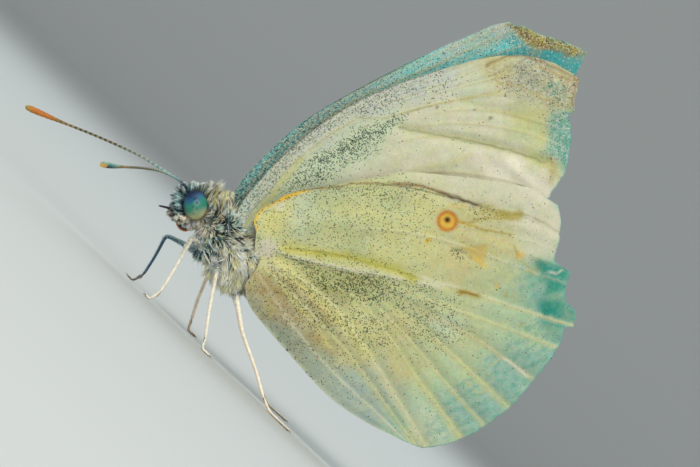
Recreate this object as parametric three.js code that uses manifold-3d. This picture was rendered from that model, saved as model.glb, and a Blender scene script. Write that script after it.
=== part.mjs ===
// A small white butterfly, life size, standing on a floor with its wings closed over its back.
// Millimetres. +X runs from the head to the tail, +Y to the insect's right, +Z up.
// Everything is first placed round the middle of the thorax, and the finished animal is then
// stood on z = 0 with the middle of its bounding box over the origin.
import * as THREE from "three";
import { mergeVertices } from "three/addons/utils/BufferGeometryUtils.js";
import Module from "manifold-3d";

const wasm = await Module();
wasm.setup();

// ---- Driving dimensions ---------------------------------------------------------------------
const STAND_HEIGHT = 5.6; // from the floor to the middle of the thorax
const GAP = 0.3; // air between two solids that touch in life
const WELD = 1e-4; // corners nearer than this are one corner

const WING_THICKNESS = 0.5;
const VEIN_HEIGHT = 0.12; // how far a vein stands out of the membrane
const VEIN_HALF_WIDTH = 0.22;
const FOREWING_MIDDLE = 0.4; // from the mid-plane to the middle of a forewing's membrane
const FOREWING_HINGE = [-0.4, 1.7]; // x and z of the hinge
const HINGE_SPREAD = 0.8; // how much further out a forewing starts at its hinge
const HINGE_REACH = 1.3; // how far from the hinge that spread fades

const BODY_SIDES = 16;
const EYE_CENTRE = [-3.37, 0.89]; // x and z of the line through both eyes
const FACE_PITCH = 43; // degrees that the face is tipped down
const EYE_RADII = [0.77, 0.62, 0.96];
const EYE_BACK = 0.74; // from the mid-plane to the flat back of an eye
const EYE_SIDES = 20;
const HEAD_RADII = [1.05, 0.85, 1.1];
const SKULL_CENTRE = [-0.12, 0, -0.02];
const MOUTH_CENTRE = [-0.35, 0, -0.75];
const MOUTH_RADII = [0.6, 0.5, 0.6];
const MOUTH_SIDES = 12;
const NECK_RADIUS = 0.72;

const FEELER_RADIUS = 0.25;
const CLUB_RADIUS = 0.36;
const CLUB_SHARE = 0.2; // the club's share of a feeler
const CLUB_SWELLS = [-0.05, 0.1]; // where it swells, as shares before and after its start
const CLUB_CLOSES = 0.94; // the share of the feeler from which its tip rounds off
const PALP_RADIUS = 0.26;
const PALP_TIP_SHARE = 0.3; // the share of a palp that tapers to its tip
const TONGUE_RADIUS = 0.24;
const TONGUE_COIL = 0.36; // radius of the coiled tongue's middle line
const TONGUE_PLACE = [-0.72, 0, -1.3];
const SLIM_SIDES = 8; // round the feelers, palps, tongue and legs

const THIGH_RADIUS = 0.4;
const KNEE_RADIUS = 0.32;
const SHIN_RADIUS = 0.29;
const TOE_RADIUS = 0.25;
const LEG_RADII = [THIGH_RADIUS, KNEE_RADIUS, SHIN_RADIUS, TOE_RADIUS, TOE_RADIUS, TOE_RADIUS];
const TOE_SINK = 0.07; // how much of a toe's roundness is flattened by the floor
const JOINT_REACH = 0.28; // how far each side of a joint the leg starts to bend
const JOINT_SWELL = 1.05;
const HEEL_SHARE = 0.35; // the share of a foot after which it lies flat

// ---- Colours --------------------------------------------------------------------------------
const finish = (color, roughness) => new THREE.MeshStandardMaterial({ color, roughness, metalness: 0 });
const FOREWING_FINISH = finish(0xcfcdb4, 0.75);
const HINDWING_FINISH = finish(0xc3c69a, 0.75);
const COAT_FINISH = finish(0x9aa79a, 0.9);
const EYE_FINISH = finish(0x4f9a8c, 0.35);
const FEELER_FINISH = finish(0x8a6a44, 0.6);
const LEG_FINISH = finish(0xcdb9a0, 0.7);
const TONGUE_FINISH = finish(0xb0682c, 0.5);

// ---- Solids ---------------------------------------------------------------------------------
function solidOf(geometry) {
  const bare = new THREE.BufferGeometry();
  bare.setAttribute("position", geometry.getAttribute("position"));
  bare.setIndex(geometry.index);
  const merged = mergeVertices(bare, WELD);
  return new wasm.Manifold(
    new wasm.Mesh({
      numProp: 3,
      vertProperties: new Float32Array(merged.getAttribute("position").array),
      triVerts: new Uint32Array(merged.index.array),
    }),
  );
}

function geometryOf(solid) {
  const mesh = solid.getMesh();
  const geometry = new THREE.BufferGeometry();
  geometry.setAttribute("position", new THREE.BufferAttribute(mesh.vertProperties, 3));
  geometry.setIndex(new THREE.BufferAttribute(mesh.triVerts, 1));
  geometry.computeVertexNormals();
  return geometry;
}

const largestPiece = (solid) =>
  solid.decompose().reduce((best, piece) => (piece.volume() > best.volume() ? piece : best));

function node(name, solid, material) {
  const mesh = new THREE.Mesh(geometryOf(largestPiece(solid)), material);
  mesh.name = name;
  return mesh;
}

// A closed skin over rings of equal length. Each ring runs anticlockwise about the way onward.
function loft(rings) {
  const sides = rings[0].length;
  const points = rings.flat();
  const faces = [];
  const corner = (ring, side) => ring * sides + (side % sides);
  for (let ring = 0; ring + 1 < rings.length; ring++)
    for (let side = 0; side < sides; side++) {
      faces.push(corner(ring, side), corner(ring, side + 1), corner(ring + 1, side + 1));
      faces.push(corner(ring, side), corner(ring + 1, side + 1), corner(ring + 1, side));
    }
  const last = rings.length - 1;
  for (const end of [0, last]) {
    const sum = rings[end].reduce((total, place) => total.add(place), new THREE.Vector3());
    const middle = points.push(sum.divideScalar(sides)) - 1;
    for (let side = 0; side < sides; side++) {
      const [a, b] = end ? [side, side + 1] : [side + 1, side];
      faces.push(middle, corner(end, a), corner(end, b));
    }
  }
  return new THREE.BufferGeometry().setFromPoints(points).setIndex(faces);
}

const NEARLY_ALONG = 0.9; // a way this close to the y axis takes x as its first sideways direction

// A tube through points, each with its own radius. Its rings turn with the way, without a twist.
function tube(points, radii, sides) {
  const onward = points.slice(1).map((p, i) => p.clone().sub(points[i]).normalize());
  const ways = points.map((_, i) =>
    new THREE.Vector3()
      .add(onward[i - 1] ?? onward[0])
      .add(onward[i] ?? onward.at(-1))
      .normalize(),
  );
  const up = Math.abs(ways[0].y) < NEARLY_ALONG ? new THREE.Vector3(0, 1, 0) : new THREE.Vector3(1, 0, 0);
  let across = up.cross(ways[0]).normalize();
  const rings = points.map((middle, i) => {
    if (i) across = across.applyQuaternion(new THREE.Quaternion().setFromUnitVectors(ways[i - 1], ways[i]));
    const above = ways[i].clone().cross(across);
    return Array.from({ length: sides }, (_, side) => {
      const turn = (side / sides) * 2 * Math.PI;
      return middle
        .clone()
        .addScaledVector(across, Math.cos(turn) * radii[i])
        .addScaledVector(above, Math.sin(turn) * radii[i]);
    });
  });
  return solidOf(loft(rings));
}

// A limb along a smooth path. thickness(t) gives its radius at t from 0 to 1.
function limb(path, thickness, sides, steps) {
  const places = path.map((place) => new THREE.Vector3(...place));
  const curve = new THREE.CatmullRomCurve3(places, false, "centripetal");
  const shares = Array.from({ length: steps + 1 }, (_, step) => step / steps);
  return tube(shares.map((t) => curve.getPointAt(t)), shares.map(thickness), sides);
}

function ellipsoid([x, y, z], [rx, ry, rz], sides = BODY_SIDES) {
  return solidOf(new THREE.SphereGeometry(1, sides, sides / 2).scale(rx, ry, rz).translate(x, y, z));
}

function box([x0, y0, z0], [x1, y1, z1]) {
  const block = new THREE.BoxGeometry(x1 - x0, y1 - y0, z1 - z0);
  return solidOf(block.translate((x0 + x1) / 2, (y0 + y1) / 2, (z0 + z1) / 2));
}

// ---- Trunk ----------------------------------------------------------------------------------
// A station of the trunk: how far back, how high its middle lies, its half width and half height.
const THORAX_STATIONS = [
  [-2.1, 0.6, 0.9, 1.1],
  [-1.5, 0.55, 1.25, 1.5],
  [-0.6, 0.48, 1.5, 1.8],
  [0.4, 0.36, 1.6, 1.9],
  [1.4, 0.2, 1.5, 1.72],
  [2.1, 0.05, 1.35, 1.45],
  [2.6, -0.1, 1.15, 1.15],
];
const ABDOMEN_START = 2.9;
const ABDOMEN_END = 11.3;
const ABDOMEN_RINGS = 8;
const ABDOMEN_RADIUS = 1.25;
const ABDOMEN_TAPERS_FROM = 0.35; // the share of its length where the abdomen starts to taper
const ABDOMEN_BLUNTNESS = 2.2;
const ABDOMEN_SWELL = 0.08; // how much slimmer it starts than its fullest ring
const ABDOMEN_TIP_RADIUS = 0.3;
const ABDOMEN_FLATNESS = 0.98;
const ABDOMEN_AXIS = { height: -0.1, slope: 0.06 };
const RING_STEP = 0.1; // how far each abdominal ring stands over the next
const RING_SHAPE = [[0, -RING_STEP], [0.25, 0], [0.9, 0]]; // share of a ring's length, step

function trunk(stations, extra = 0) {
  return solidOf(
    loft(
      stations.map(([x, z, halfWidth, halfHeight]) =>
        Array.from({ length: BODY_SIDES }, (_, side) => {
          const turn = (side / BODY_SIDES) * 2 * Math.PI;
          const y = Math.cos(turn) * (halfWidth + extra);
          return new THREE.Vector3(x, y, z + Math.sin(turn) * (halfHeight + extra));
        }),
      ),
    ),
  );
}

// The same thorax, larger all round by extra and as much longer at both ends.
function thoraxCore(extra = 0) {
  const stations = THORAX_STATIONS.map((station) => [...station]);
  stations[0][0] -= extra;
  stations.at(-1)[0] += extra;
  return trunk(stations, extra);
}

// How thick the abdomen is at x: it swells, then tapers to a blunt tip.
function abdomenRadius(x) {
  const t = (x - ABDOMEN_START) / (ABDOMEN_END - ABDOMEN_START);
  const tapering = Math.max(0, (t - ABDOMEN_TAPERS_FROM) / (1 - ABDOMEN_TAPERS_FROM)) ** ABDOMEN_BLUNTNESS;
  return ABDOMEN_RADIUS * Math.sqrt(Math.max(0, 1 - tapering)) * (1 - ABDOMEN_SWELL * (1 - t));
}

const abdomenHeight = (x) => ABDOMEN_AXIS.height + ABDOMEN_AXIS.slope * (x - ABDOMEN_START);

function abdomen() {
  const stations = [];
  const length = (ABDOMEN_END - ABDOMEN_START) / ABDOMEN_RINGS;
  for (let ring = 0; ring < ABDOMEN_RINGS; ring++) {
    const start = ABDOMEN_START + ring * length;
    for (const [share, step] of RING_SHAPE) {
      const x = start + share * length;
      const radius = Math.max(abdomenRadius(x) + step, ABDOMEN_TIP_RADIUS);
      stations.push([x, abdomenHeight(x), radius, radius * ABDOMEN_FLATNESS]);
    }
  }
  return trunk(stations);
}

// ---- Wings ----------------------------------------------------------------------------------
// Outlines and veins are drawn in the x-z plane. An outline is a list of runs: each run is a
// smooth curve, and the runs meet at corners.
const FOREWING_OUTLINE = [
  [
    [-0.9, 1.2], [-1.3, 2.6], [-1.4, 4.5], [-1.4, 6.6], [-1.0, 10.0], [-0.2, 12.9], [0.9, 15.4],
    [2.2, 17.8], [3.6, 20.1], [5.1, 21.8], [6.7, 22.9], [9.1, 23.5],
  ],
  [[9.1, 23.5], [9.5, 22.9], [10.4, 21.7]],
  [[10.4, 21.7], [10.1, 21.4]],
  [[10.1, 21.4], [11.1, 20.6], [12.0, 19.4], [12.6, 18.3], [12.8, 17.0]],
  [[12.8, 17.0], [13.4, 15.0], [14.1, 12.1]],
  [[14.1, 12.1], [13.1, 10.7], [8.7, 7.0], [3.5, 3.3], [0.6, 1.2]],
];
const RIGHT_FOREWING_OUTLINE = [
  [
    [-0.9, 1.0], [-2.0, 2.2], [-2.3, 3.9], [-2.3, 5.8], [-2.0, 9.2], [-1.2, 12.2], [-0.3, 14.9],
    [0.7, 17.6], [1.8, 20.2], [2.7, 22.2], [3.3, 23.1],
  ],
  [[3.3, 23.1], [4.0, 23.4], [5.3, 23.9], [6.5, 24.5], [8.3, 25.2]],
  [[8.3, 25.2], [8.7, 23.9]],
  [[8.7, 23.9], [10.0, 21.2], [11.2, 19.0], [12.0, 17.4], [12.6, 15.4]],
  [[12.6, 15.4], [13.0, 14.0], [13.3, 11.8]],
  [[13.3, 11.8], [12.4, 10.4], [8.3, 6.9], [3.3, 3.1], [0.4, 1.0]],
];
const HINDWING_OUTLINE = [
  [
    [1.4, 0.4], [0.9, 1.3], [0.3, 2.2], [-0.1, 3.1], [0.1, 4.2], [0.6, 5.5], [2.1, 7.6], [4.0, 10.1],
    [5.2, 11.7], [7.4, 13.3], [9.4, 14.8], [11.5, 16.2], [12.8, 16.5],
  ],
  [[12.8, 16.5], [13.9, 16.5], [15.1, 15.2], [15.9, 13.8]],
  [[15.9, 13.8], [17.1, 14.1]],
  [[17.1, 14.1], [17.5, 13.3], [18.1, 12.4]],
  [[18.1, 12.4], [19.1, 12.4], [19.7, 11.6]],
  [[19.7, 11.6], [19.2, 11.2]],
  [[19.2, 11.2], [19.7, 10.4], [20.0, 9.0], [20.1, 7.3], [20.2, 5.2], [19.7, 2.6], [18.9, 0.7], [17.9, -0.6]],
  [
    [17.9, -0.6], [16.4, -1.2], [14.0, -1.9], [11.3, -2.3], [8.2, -2.1], [5.3, -1.8], [3.6, -1.5],
    [2.4, -0.6],
  ],
];
// The right hindwing lacks the two torn teeth.
const RIGHT_HINDWING_OUTLINE = HINDWING_OUTLINE.toSpliced(2, 4,
  [[15.9, 13.8], [16.9, 13.2], [18.0, 12.1], [18.8, 11.3]],
).with(3, [[18.8, 11.3], ...HINDWING_OUTLINE[6].slice(1)]);

// Each vein: the share of its way before which it runs unseen in the wing's cell, then its way
// from the hinge to the margin.
const vein = (starts, ...way) => ({ starts, way });
const FOREWING_VEINS = [
  vein(0, [-1.0, 1.5], [-1.8, 4.5], [-1.8, 6.8], [-1.4, 10.2], [-0.6, 13.2], [0.5, 15.8], [2.0, 19.4]),
  vein(0, [-0.8, 1.5], [-1.0, 4.5], [-0.8, 7.4], [-0.2, 10.6], [0.9, 13.6], [2.3, 16.9], [4.5, 22.8]),
  vein(0.5, [-0.7, 1.5], [-0.6, 4.4], [0.0, 7.4], [1.1, 10.8], [2.6, 14.2], [4.3, 17.8], [6.9, 25.0]),
  vein(0.45, [-0.6, 1.5], [-0.3, 4.3], [0.6, 7.4], [1.9, 10.9], [3.7, 14.3], [6.0, 17.9], [10.7, 25.4]),
  vein(0, [-0.5, 1.5], [0.0, 4.2], [1.2, 7.3], [2.7, 10.9], [4.5, 14.1], [7.0, 18.0], [12.2, 23.6]),
  vein(0.5, [-0.35, 1.5], [0.4, 4.0], [1.8, 7.1], [3.6, 10.7], [5.7, 14.2], [8.4, 17.6], [12.9, 21.4]),
  vein(0.5, [-0.2, 1.45], [0.8, 3.8], [2.5, 6.9], [4.5, 10.3], [6.9, 13.5], [9.7, 16.4], [13.1, 18.9]),
  vein(0, [-0.05, 1.4], [1.2, 3.6], [3.2, 6.5], [5.6, 9.7], [8.3, 12.9], [11.0, 15.3], [13.6, 16.8]),
  vein(0, [0.1, 1.3], [1.5, 3.2], [3.6, 5.6], [6.3, 8.4], [9.0, 10.9], [11.8, 13.2], [14.3, 14.7]),
  vein(0, [0.3, 1.1], [1.6, 2.4], [3.9, 3.9], [7.0, 6.1], [10.0, 8.2], [12.7, 10.1], [14.7, 11.9]),
];
const HINDWING_VEINS = [
  vein(0, [1.3, 1.1], [-0.4, 2.4], [0.0, 5.2], [2.6, 9.0], [5.2, 12.3], [9.0, 15.0], [12.6, 17.0]),
  vein(0, [1.5, 1.1], [1.1, 2.8], [2.3, 5.5], [5.0, 9.3], [7.5, 12.1], [11.2, 14.2], [15.1, 15.7]),
  vein(0.1, [1.6, 1.05], [2.2, 3.2], [3.9, 5.9], [6.5, 8.9], [9.2, 11.2], [12.0, 12.8], [16.2, 14.4]),
  vein(0.1, [1.7, 1.0], [3.0, 3.2], [5.2, 5.7], [8.0, 8.3], [11.3, 10.5], [14.5, 12.1], [17.9, 13.4]),
  vein(0, [1.8, 0.95], [3.4, 2.7], [6.0, 4.9], [8.9, 6.9], [12.1, 8.7], [15.9, 10.4], [20.1, 11.8]),
  vein(0.45, [1.9, 0.9], [3.9, 2.3], [6.7, 4.2], [9.9, 6.0], [13.0, 7.4], [16.5, 8.9], [20.5, 9.9]),
  vein(0.4, [2.0, 0.8], [4.2, 1.9], [7.2, 3.5], [10.6, 4.9], [14.0, 6.1], [17.1, 6.8], [20.6, 7.3]),
  vein(0.4, [2.1, 0.7], [4.4, 1.5], [7.6, 2.7], [11.0, 3.7], [14.3, 4.4], [17.3, 4.8], [20.5, 4.8]),
  vein(0.25, [2.2, 0.55], [4.6, 1.0], [7.8, 1.7], [11.1, 2.4], [14.4, 2.7], [17.4, 2.8], [20.0, 2.6]),
  vein(0.1, [2.3, 0.4], [4.7, 0.6], [7.9, 0.9], [11.2, 1.1], [14.3, 1.3], [16.9, 1.1], [19.3, 0.7]),
  vein(0, [2.35, 0.2], [4.7, -0.05], [7.8, -0.05], [11.0, -0.2], [13.8, -0.2], [16.2, -0.4], [18.3, -0.9]),
  vein(0.1, [2.4, 0.0], [4.4, -0.9], [7.2, -1.2], [10.2, -1.4], [13.2, -1.4], [15.4, -1.3], [16.9, -1.8]),
  vein(1, [2.3, -0.3], [3.6, -1.9], [6.0, -2.3], [9.0, -2.7], [11.9, -2.8], [14.1, -2.5], [16.2, -1.9]),
];
const VEIN_ROWS = 11;
const VEIN_EMERGES = 0.1; // the share of its way over which a vein rises out of the cell
const VEIN_TAPER = { root: 1.2, loss: 0.5 }; // its height at the hinge, and what it loses on the way
const VEIN_SHARE = 0.33; // a vein's flank takes no more than this of the way to the next vein
const RIGHT_FOREWING_TURN = 3.2; // degrees that the right forewing is raised above the left one
const RIGHT_FOREWING_SHIFT = -0.5; // how much further forward it lies

// The same veins, swung up about the forewing's hinge and shifted along the body.
function swung(veins, degrees, shift) {
  const turn = THREE.MathUtils.degToRad(degrees);
  const hinge = new THREE.Vector2(...FOREWING_HINGE);
  const move = ([x, z]) => {
    const place = new THREE.Vector2(x, z).rotateAround(hinge, turn);
    return [place.x + shift, place.y];
  };
  return veins.map(({ starts, way }) => vein(starts, ...way.map(move)));
}

// How far out the middle of a forewing's membrane lies at a place in the x-z plane.
function forewingOut(x, z) {
  const away = Math.hypot(x - FOREWING_HINGE[0], z - FOREWING_HINGE[1]) / HINGE_REACH;
  return FOREWING_MIDDLE + HINGE_SPREAD * Math.exp(-away * away);
}

// A hindwing lies over the forewing, and bows out round the abdomen.
function hindwingOut(x, z) {
  const beside = THREE.MathUtils.clamp(x, ABDOMEN_START, ABDOMEN_END);
  const room = abdomenRadius(beside) + GAP + WING_THICKNESS / 2;
  const over = forewingOut(x, z) + WING_THICKNESS + VEIN_HEIGHT + GAP;
  const level = Math.exp(-(((z - abdomenHeight(x)) / (ABDOMEN_RADIUS + GAP)) ** 4));
  return over + Math.max(0, room - over) * level;
}

// Columns run along the veins, with one on each side of a vein where the membrane meets it.
function wingColumns(veins) {
  const ways = veins.map(({ way }) => new THREE.SplineCurve(way.map(([x, z]) => new THREE.Vector2(x, z))));
  const rows = Array.from({ length: VEIN_ROWS + 1 }, (_, row) => row / VEIN_ROWS);
  const crests = ways.map((way) => rows.map((t) => way.getPoint(t)));
  const columns = [];
  crests.forEach((crest, number) => {
    const { starts } = veins[number];
    const raised = rows.map((t) => {
      const shown = THREE.MathUtils.smoothstep(t, starts - VEIN_EMERGES / 5, starts + VEIN_EMERGES);
      return VEIN_HEIGHT * shown * (VEIN_TAPER.root - VEIN_TAPER.loss * t);
    });
    columns.push(crest.map((place, row) => ({ place, raised: raised[row] })));
    const next = crests[number + 1];
    if (!next) return;
    for (const side of [0, 1])
      columns.push(
        crest.map((place, row) => {
          const share = Math.min(VEIN_SHARE, VEIN_HALF_WIDTH / place.distanceTo(next[row]));
          return { place: place.clone().lerp(next[row], side ? 1 - share : share), raised: 0 };
        }),
      );
  });
  return columns;
}

// The veined sheet of a right wing, before its margin is cut. Both faces have the same triangles.
function wingSheet(veins, out, extra = 0) {
  const columns = wingColumns(veins);
  const across = columns.length;
  const half = WING_THICKNESS / 2 + extra;
  const points = [];
  for (const outer of [true, false])
    for (let row = 0; row <= VEIN_ROWS; row++)
      for (const column of columns) {
        const { place, raised } = column[row];
        const y = out(place.x, place.y) + (outer ? half + raised : -half);
        points.push(new THREE.Vector3(place.x, y, place.y));
      }
  const faces = [];
  const corner = (inner, row, column) => (inner * (VEIN_ROWS + 1) + row) * across + column;
  const quad = (a, b, c, d) => faces.push(a, b, c, a, c, d);
  for (let row = 0; row < VEIN_ROWS; row++)
    for (let column = 0; column + 1 < across; column++) {
      const [a, b, c, d] = [[row, column], [row + 1, column], [row + 1, column + 1], [row, column + 1]];
      const top = [a, b, c, d].map((place) => corner(0, ...place));
      const under = [a, b, c, d].map((place) => corner(1, ...place));
      faces.push(top[0], top[1], top[2], top[0], top[2], top[3]);
      faces.push(under[0], under[2], under[1], under[0], under[3], under[2]);
    }
  for (let row = 0; row < VEIN_ROWS; row++) {
    quad(corner(0, row, 0), corner(1, row, 0), corner(1, row + 1, 0), corner(0, row + 1, 0));
    const last = across - 1;
    quad(corner(0, row, last), corner(0, row + 1, last), corner(1, row + 1, last), corner(1, row, last));
  }
  for (let column = 0; column + 1 < across; column++) {
    quad(corner(0, 0, column), corner(0, 0, column + 1), corner(1, 0, column + 1), corner(1, 0, column));
    const [end, next] = [VEIN_ROWS, column + 1];
    quad(corner(0, end, column), corner(1, end, column), corner(1, end, next), corner(0, end, next));
  }
  return solidOf(new THREE.BufferGeometry().setFromPoints(points).setIndex(faces));
}

// The outline as a prism right across the animal.
function outlinePrism(runs) {
  const depth = 12; // more than the widest pair of wings
  const shape = new THREE.Shape();
  shape.moveTo(...runs[0][0]);
  for (const run of runs)
    if (run.length === 2) shape.lineTo(...run[1]);
    else shape.splineThru(run.slice(1).map(([x, z]) => new THREE.Vector2(x, z)));
  shape.closePath();
  const prism = new THREE.ExtrudeGeometry(shape, { depth, bevelEnabled: false, curveSegments: 2 });
  prism.deleteAttribute("uv").deleteAttribute("normal");
  return solidOf(mergeVertices(prism.rotateX(Math.PI / 2).translate(0, depth / 2, 0)));
}

const mirrored = (solid) => solid.mirror([0, 1, 0]);

function wingSheets(extra = 0) {
  const raised = swung(FOREWING_VEINS, RIGHT_FOREWING_TURN, RIGHT_FOREWING_SHIFT);
  return {
    forewing_left: mirrored(wingSheet(FOREWING_VEINS, forewingOut, extra)),
    forewing_right: wingSheet(raised, forewingOut, extra),
    hindwing_left: mirrored(wingSheet(HINDWING_VEINS, hindwingOut, extra)),
    hindwing_right: wingSheet(HINDWING_VEINS, hindwingOut, extra),
  };
}

const WING_OUTLINES = {
  forewing_left: FOREWING_OUTLINE,
  forewing_right: RIGHT_FOREWING_OUTLINE,
  hindwing_left: HINDWING_OUTLINE,
  hindwing_right: RIGHT_HINDWING_OUTLINE,
};
const wing = (sheet, name) => sheet.intersect(outlinePrism(WING_OUTLINES[name])).subtract(thoraxCore(GAP));

// ---- Head -----------------------------------------------------------------------------------
// The head is drawn looking along -X and then tipped about the line through the eyes.
const face = new THREE.Matrix4()
  .makeTranslation(EYE_CENTRE[0], 0, EYE_CENTRE[1])
  .multiply(new THREE.Matrix4().makeRotationY(THREE.MathUtils.degToRad(-FACE_PITCH)));
const onFace = (solid) => solid.transform(face.elements);

function eye(extra = 0) {
  const radii = EYE_RADII.map((radius) => radius + extra);
  const outside = box([-2, EYE_BACK - extra, -2], [2, 4, 2]);
  return ellipsoid([0, EYE_BACK, 0], radii, EYE_SIDES).intersect(outside);
}

function headCore(extra = 0) {
  const larger = (radii) => radii.map((radius) => radius + extra);
  const mouth = ellipsoid(MOUTH_CENTRE, larger(MOUTH_RADII), MOUTH_SIDES);
  return ellipsoid(SKULL_CENTRE, larger(HEAD_RADII)).add(mouth);
}

function tongue(extra = 0) {
  const coil = new THREE.TorusGeometry(TONGUE_COIL, TONGUE_RADIUS + extra, SLIM_SIDES, 20);
  const stemWay = [[-0.4, 0, -0.5], [-0.32, 0, -1.0], [-0.4, 0, -1.35]];
  const stem = limb(stemWay, () => TONGUE_RADIUS + extra, SLIM_SIDES, 4);
  return solidOf(coil.rotateX(Math.PI / 2).translate(...TONGUE_PLACE)).add(stem);
}

function palp(extra = 0) {
  const way = [
    [-0.45, 0.5, -0.75], [-0.85, 0.78, -1.12], [-1.3, 0.76, -0.9],
    [-1.62, 0.6, -0.5], [-1.9, 0.5, -0.22], [-2.5, 0.44, -0.13],
  ];
  const thickness = (t) => PALP_RADIUS * Math.min(1, (1 - t) / PALP_TIP_SHARE + 0.15) + extra;
  return limb(way, thickness, SLIM_SIDES, 12);
}

// A feeler ends in a club that swells and closes to a blunt tip.
function feelerTube(way, extra = 0) {
  const [swellsFrom, swollenAt] = CLUB_SWELLS.map((share) => 1 - CLUB_SHARE + share);
  const thickness = (t) => {
    const swell = THREE.MathUtils.smoothstep(t, swellsFrom, swollenAt);
    const closing = Math.max(0, (t - CLUB_CLOSES) / (1.005 - CLUB_CLOSES));
    return THREE.MathUtils.lerp(FEELER_RADIUS, CLUB_RADIUS, swell) * Math.sqrt(1 - closing ** 2) + extra;
  };
  return limb(way, thickness, SLIM_SIDES, 30);
}

const feeler = (way) => feelerTube(way).subtract(onFace(headCore(GAP)));
const RIGHT_FEELER = [
  [-3.9, 0.38, 0.9], [-4.45, 0.45, 1.22], [-5.2, 0.55, 1.28], [-6.6, 0.75, 1.0], [-8.1, 0.95, 0.7],
  [-10.8, 1.3, -0.2], [-13.4, 1.7, -1.2], [-15.6, 2.0, -2.0],
];
const LEFT_FEELER = [
  [-3.9, -0.38, 0.9], [-4.45, -0.5, 1.22], [-5.2, -1.2, 1.28], [-5.9, -2.4, 1.1], [-6.5, -3.6, 0.85],
  [-7.3, -5.3, 0.3], [-8.0, -6.8, -0.3], [-8.6, -8.1, -0.8], [-9.2, -9.2, -1.2],
];

// ---- Legs -----------------------------------------------------------------------------------
// Each leg: hip, knee, ankle and toe. The toe lies on the floor.
const FLOOR = -STAND_HEIGHT;
const TOE = FLOOR + TOE_RADIUS - TOE_SINK;
const LEGS = {
  leg_front_left: [
    [-1.1, -0.9, -0.9], [-2.05, -1.9, -0.75], [-1.45, -2.1, -3.2],
    [-1.15, -2.2, -4.7], [-1.7, -2.4, TOE],
  ],
  leg_front_right: [
    [-0.8, 0.8, -1.1], [-3.45, 1.7, -1.9], [-3.05, 1.95, -3.4],
    [-2.8, 2.2, -4.8], [-3.5, 2.6, TOE],
  ],
  leg_mid_left: [
    [0.4, -1.0, -1.1], [0.7, -2.5, -1.5], [1.9, -3.1, -3.4],
    [2.9, -3.5, -4.8], [3.9, -3.9, TOE],
  ],
  leg_mid_right: [
    [0.4, 1.0, -1.1], [0.1, 2.7, -1.6], [0.8, 3.5, -3.5],
    [1.4, 4.0, -4.8], [2.3, 4.5, TOE],
  ],
  leg_hind_left: [
    [1.7, -0.8, -1.0], [4.4, -1.9, -3.05], [6.7, -3.2, -4.2],
    [8.2, -4.0, -5.1], [10.8, -5.2, TOE],
  ],
  leg_hind_right: [
    [1.7, 0.8, -1.0], [4.2, 2.0, -3.05], [6.4, 3.4, -4.2],
    [7.9, 4.3, -5.1], [10.4, 5.6, TOE],
  ],
};

// A jointed limb: each corner is rounded over JOINT_REACH.
function legTube([hip, knee, shin, ankle, toe], extra = 0) {
  const heel = new THREE.Vector3(...ankle).lerp(new THREE.Vector3(...toe), HEEL_SHARE).setZ(toe[2]);
  const way = [hip, knee, shin, ankle, heel.toArray(), toe].map((place) => new THREE.Vector3(...place));
  const radii = LEG_RADII.map((radius) => radius + extra);
  const points = [way[0]];
  const thickness = [radii[0]];
  for (let i = 1; i + 1 < way.length; i++) {
    const before = way[i - 1].clone().sub(way[i]).setLength(JOINT_REACH).add(way[i]);
    const after = way[i + 1].clone().sub(way[i]).setLength(JOINT_REACH).add(way[i]);
    const middle = before.clone().add(after).multiplyScalar(0.25).addScaledVector(way[i], 0.5);
    points.push(before, middle, after);
    thickness.push(radii[i], radii[i] * JOINT_SWELL, radii[i]);
  }
  points.push(way.at(-1));
  thickness.push(radii.at(-1) * 0.9);
  return tube(points, thickness, SLIM_SIDES);
}

const underFloor = box([-20, -20, FLOOR - 3], [20, 20, FLOOR]);
const leg = (way) => legTube(way).subtract(thoraxCore(GAP)).subtract(underFloor);

// ---- Coat -----------------------------------------------------------------------------------
// A lock is a flat blade, sunk at its root, that rises off the skin and then bends along its lie.
const LOCK_SINK = 0.4;
const LOCK_HALF_WIDTH = 0.3;
const LOCK_HALF_THICKNESS = 0.17;
const LOCK_STEPS = [0, 0.35, 0.65, 0.88, 1];
const LOCK_TAPER = [0.9, 1, 0.75, 0.4, 0.1];

// One seeded draw for the whole coat, so that it comes out the same each time.
let draw = 20317;
function chance(low, high) {
  draw = (draw * 1664525 + 1013904223) % 4294967296;
  return low + ((high - low) * draw) / 4294967296;
}

function lock(root, normal, lie, length, rise) {
  const start = root.clone().addScaledVector(normal, -LOCK_SINK);
  const side = lie.clone().cross(normal).normalize();
  const middles = LOCK_STEPS.map((t) =>
    start
      .clone()
      .addScaledVector(normal, (LOCK_SINK + rise) * (1 - (1 - t) ** 2))
      .addScaledVector(lie, length * t ** 1.5),
  );
  const rings = middles.map((middle, i) => {
    const last = i === LOCK_STEPS.length - 1;
    const onward = (last ? middle : middles[i + 1]).clone().sub(last ? middles[i - 1] : middle).normalize();
    const above = side.clone().cross(onward).normalize();
    return [[1, 0], [0, -1], [-1, 0], [0, 1]].map(([across, over]) =>
      middle
        .clone()
        .addScaledVector(side, across * LOCK_HALF_WIDTH * LOCK_TAPER[i])
        .addScaledVector(above, over * LOCK_HALF_THICKNESS * Math.max(LOCK_TAPER[i], 0.2)),
    );
  });
  return solidOf(loft(rings));
}

// Where the trunk's skin is at x, at an angle up from the right side, and which way it faces.
function onThorax(x, angle) {
  const after = Math.max(1, THORAX_STATIONS.findIndex(([at]) => at >= x));
  const [low, high] = [THORAX_STATIONS[after - 1], THORAX_STATIONS[after]];
  const share = (x - low[0]) / (high[0] - low[0]);
  const [, z, halfWidth, halfHeight] = low.map((value, i) => value + (high[i] - value) * share);
  const point = new THREE.Vector3(x, Math.cos(angle) * halfWidth, z + Math.sin(angle) * halfHeight);
  const normal = new THREE.Vector3(0, Math.cos(angle) / halfWidth, Math.sin(angle) / halfHeight).normalize();
  return { point, normal };
}

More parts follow.
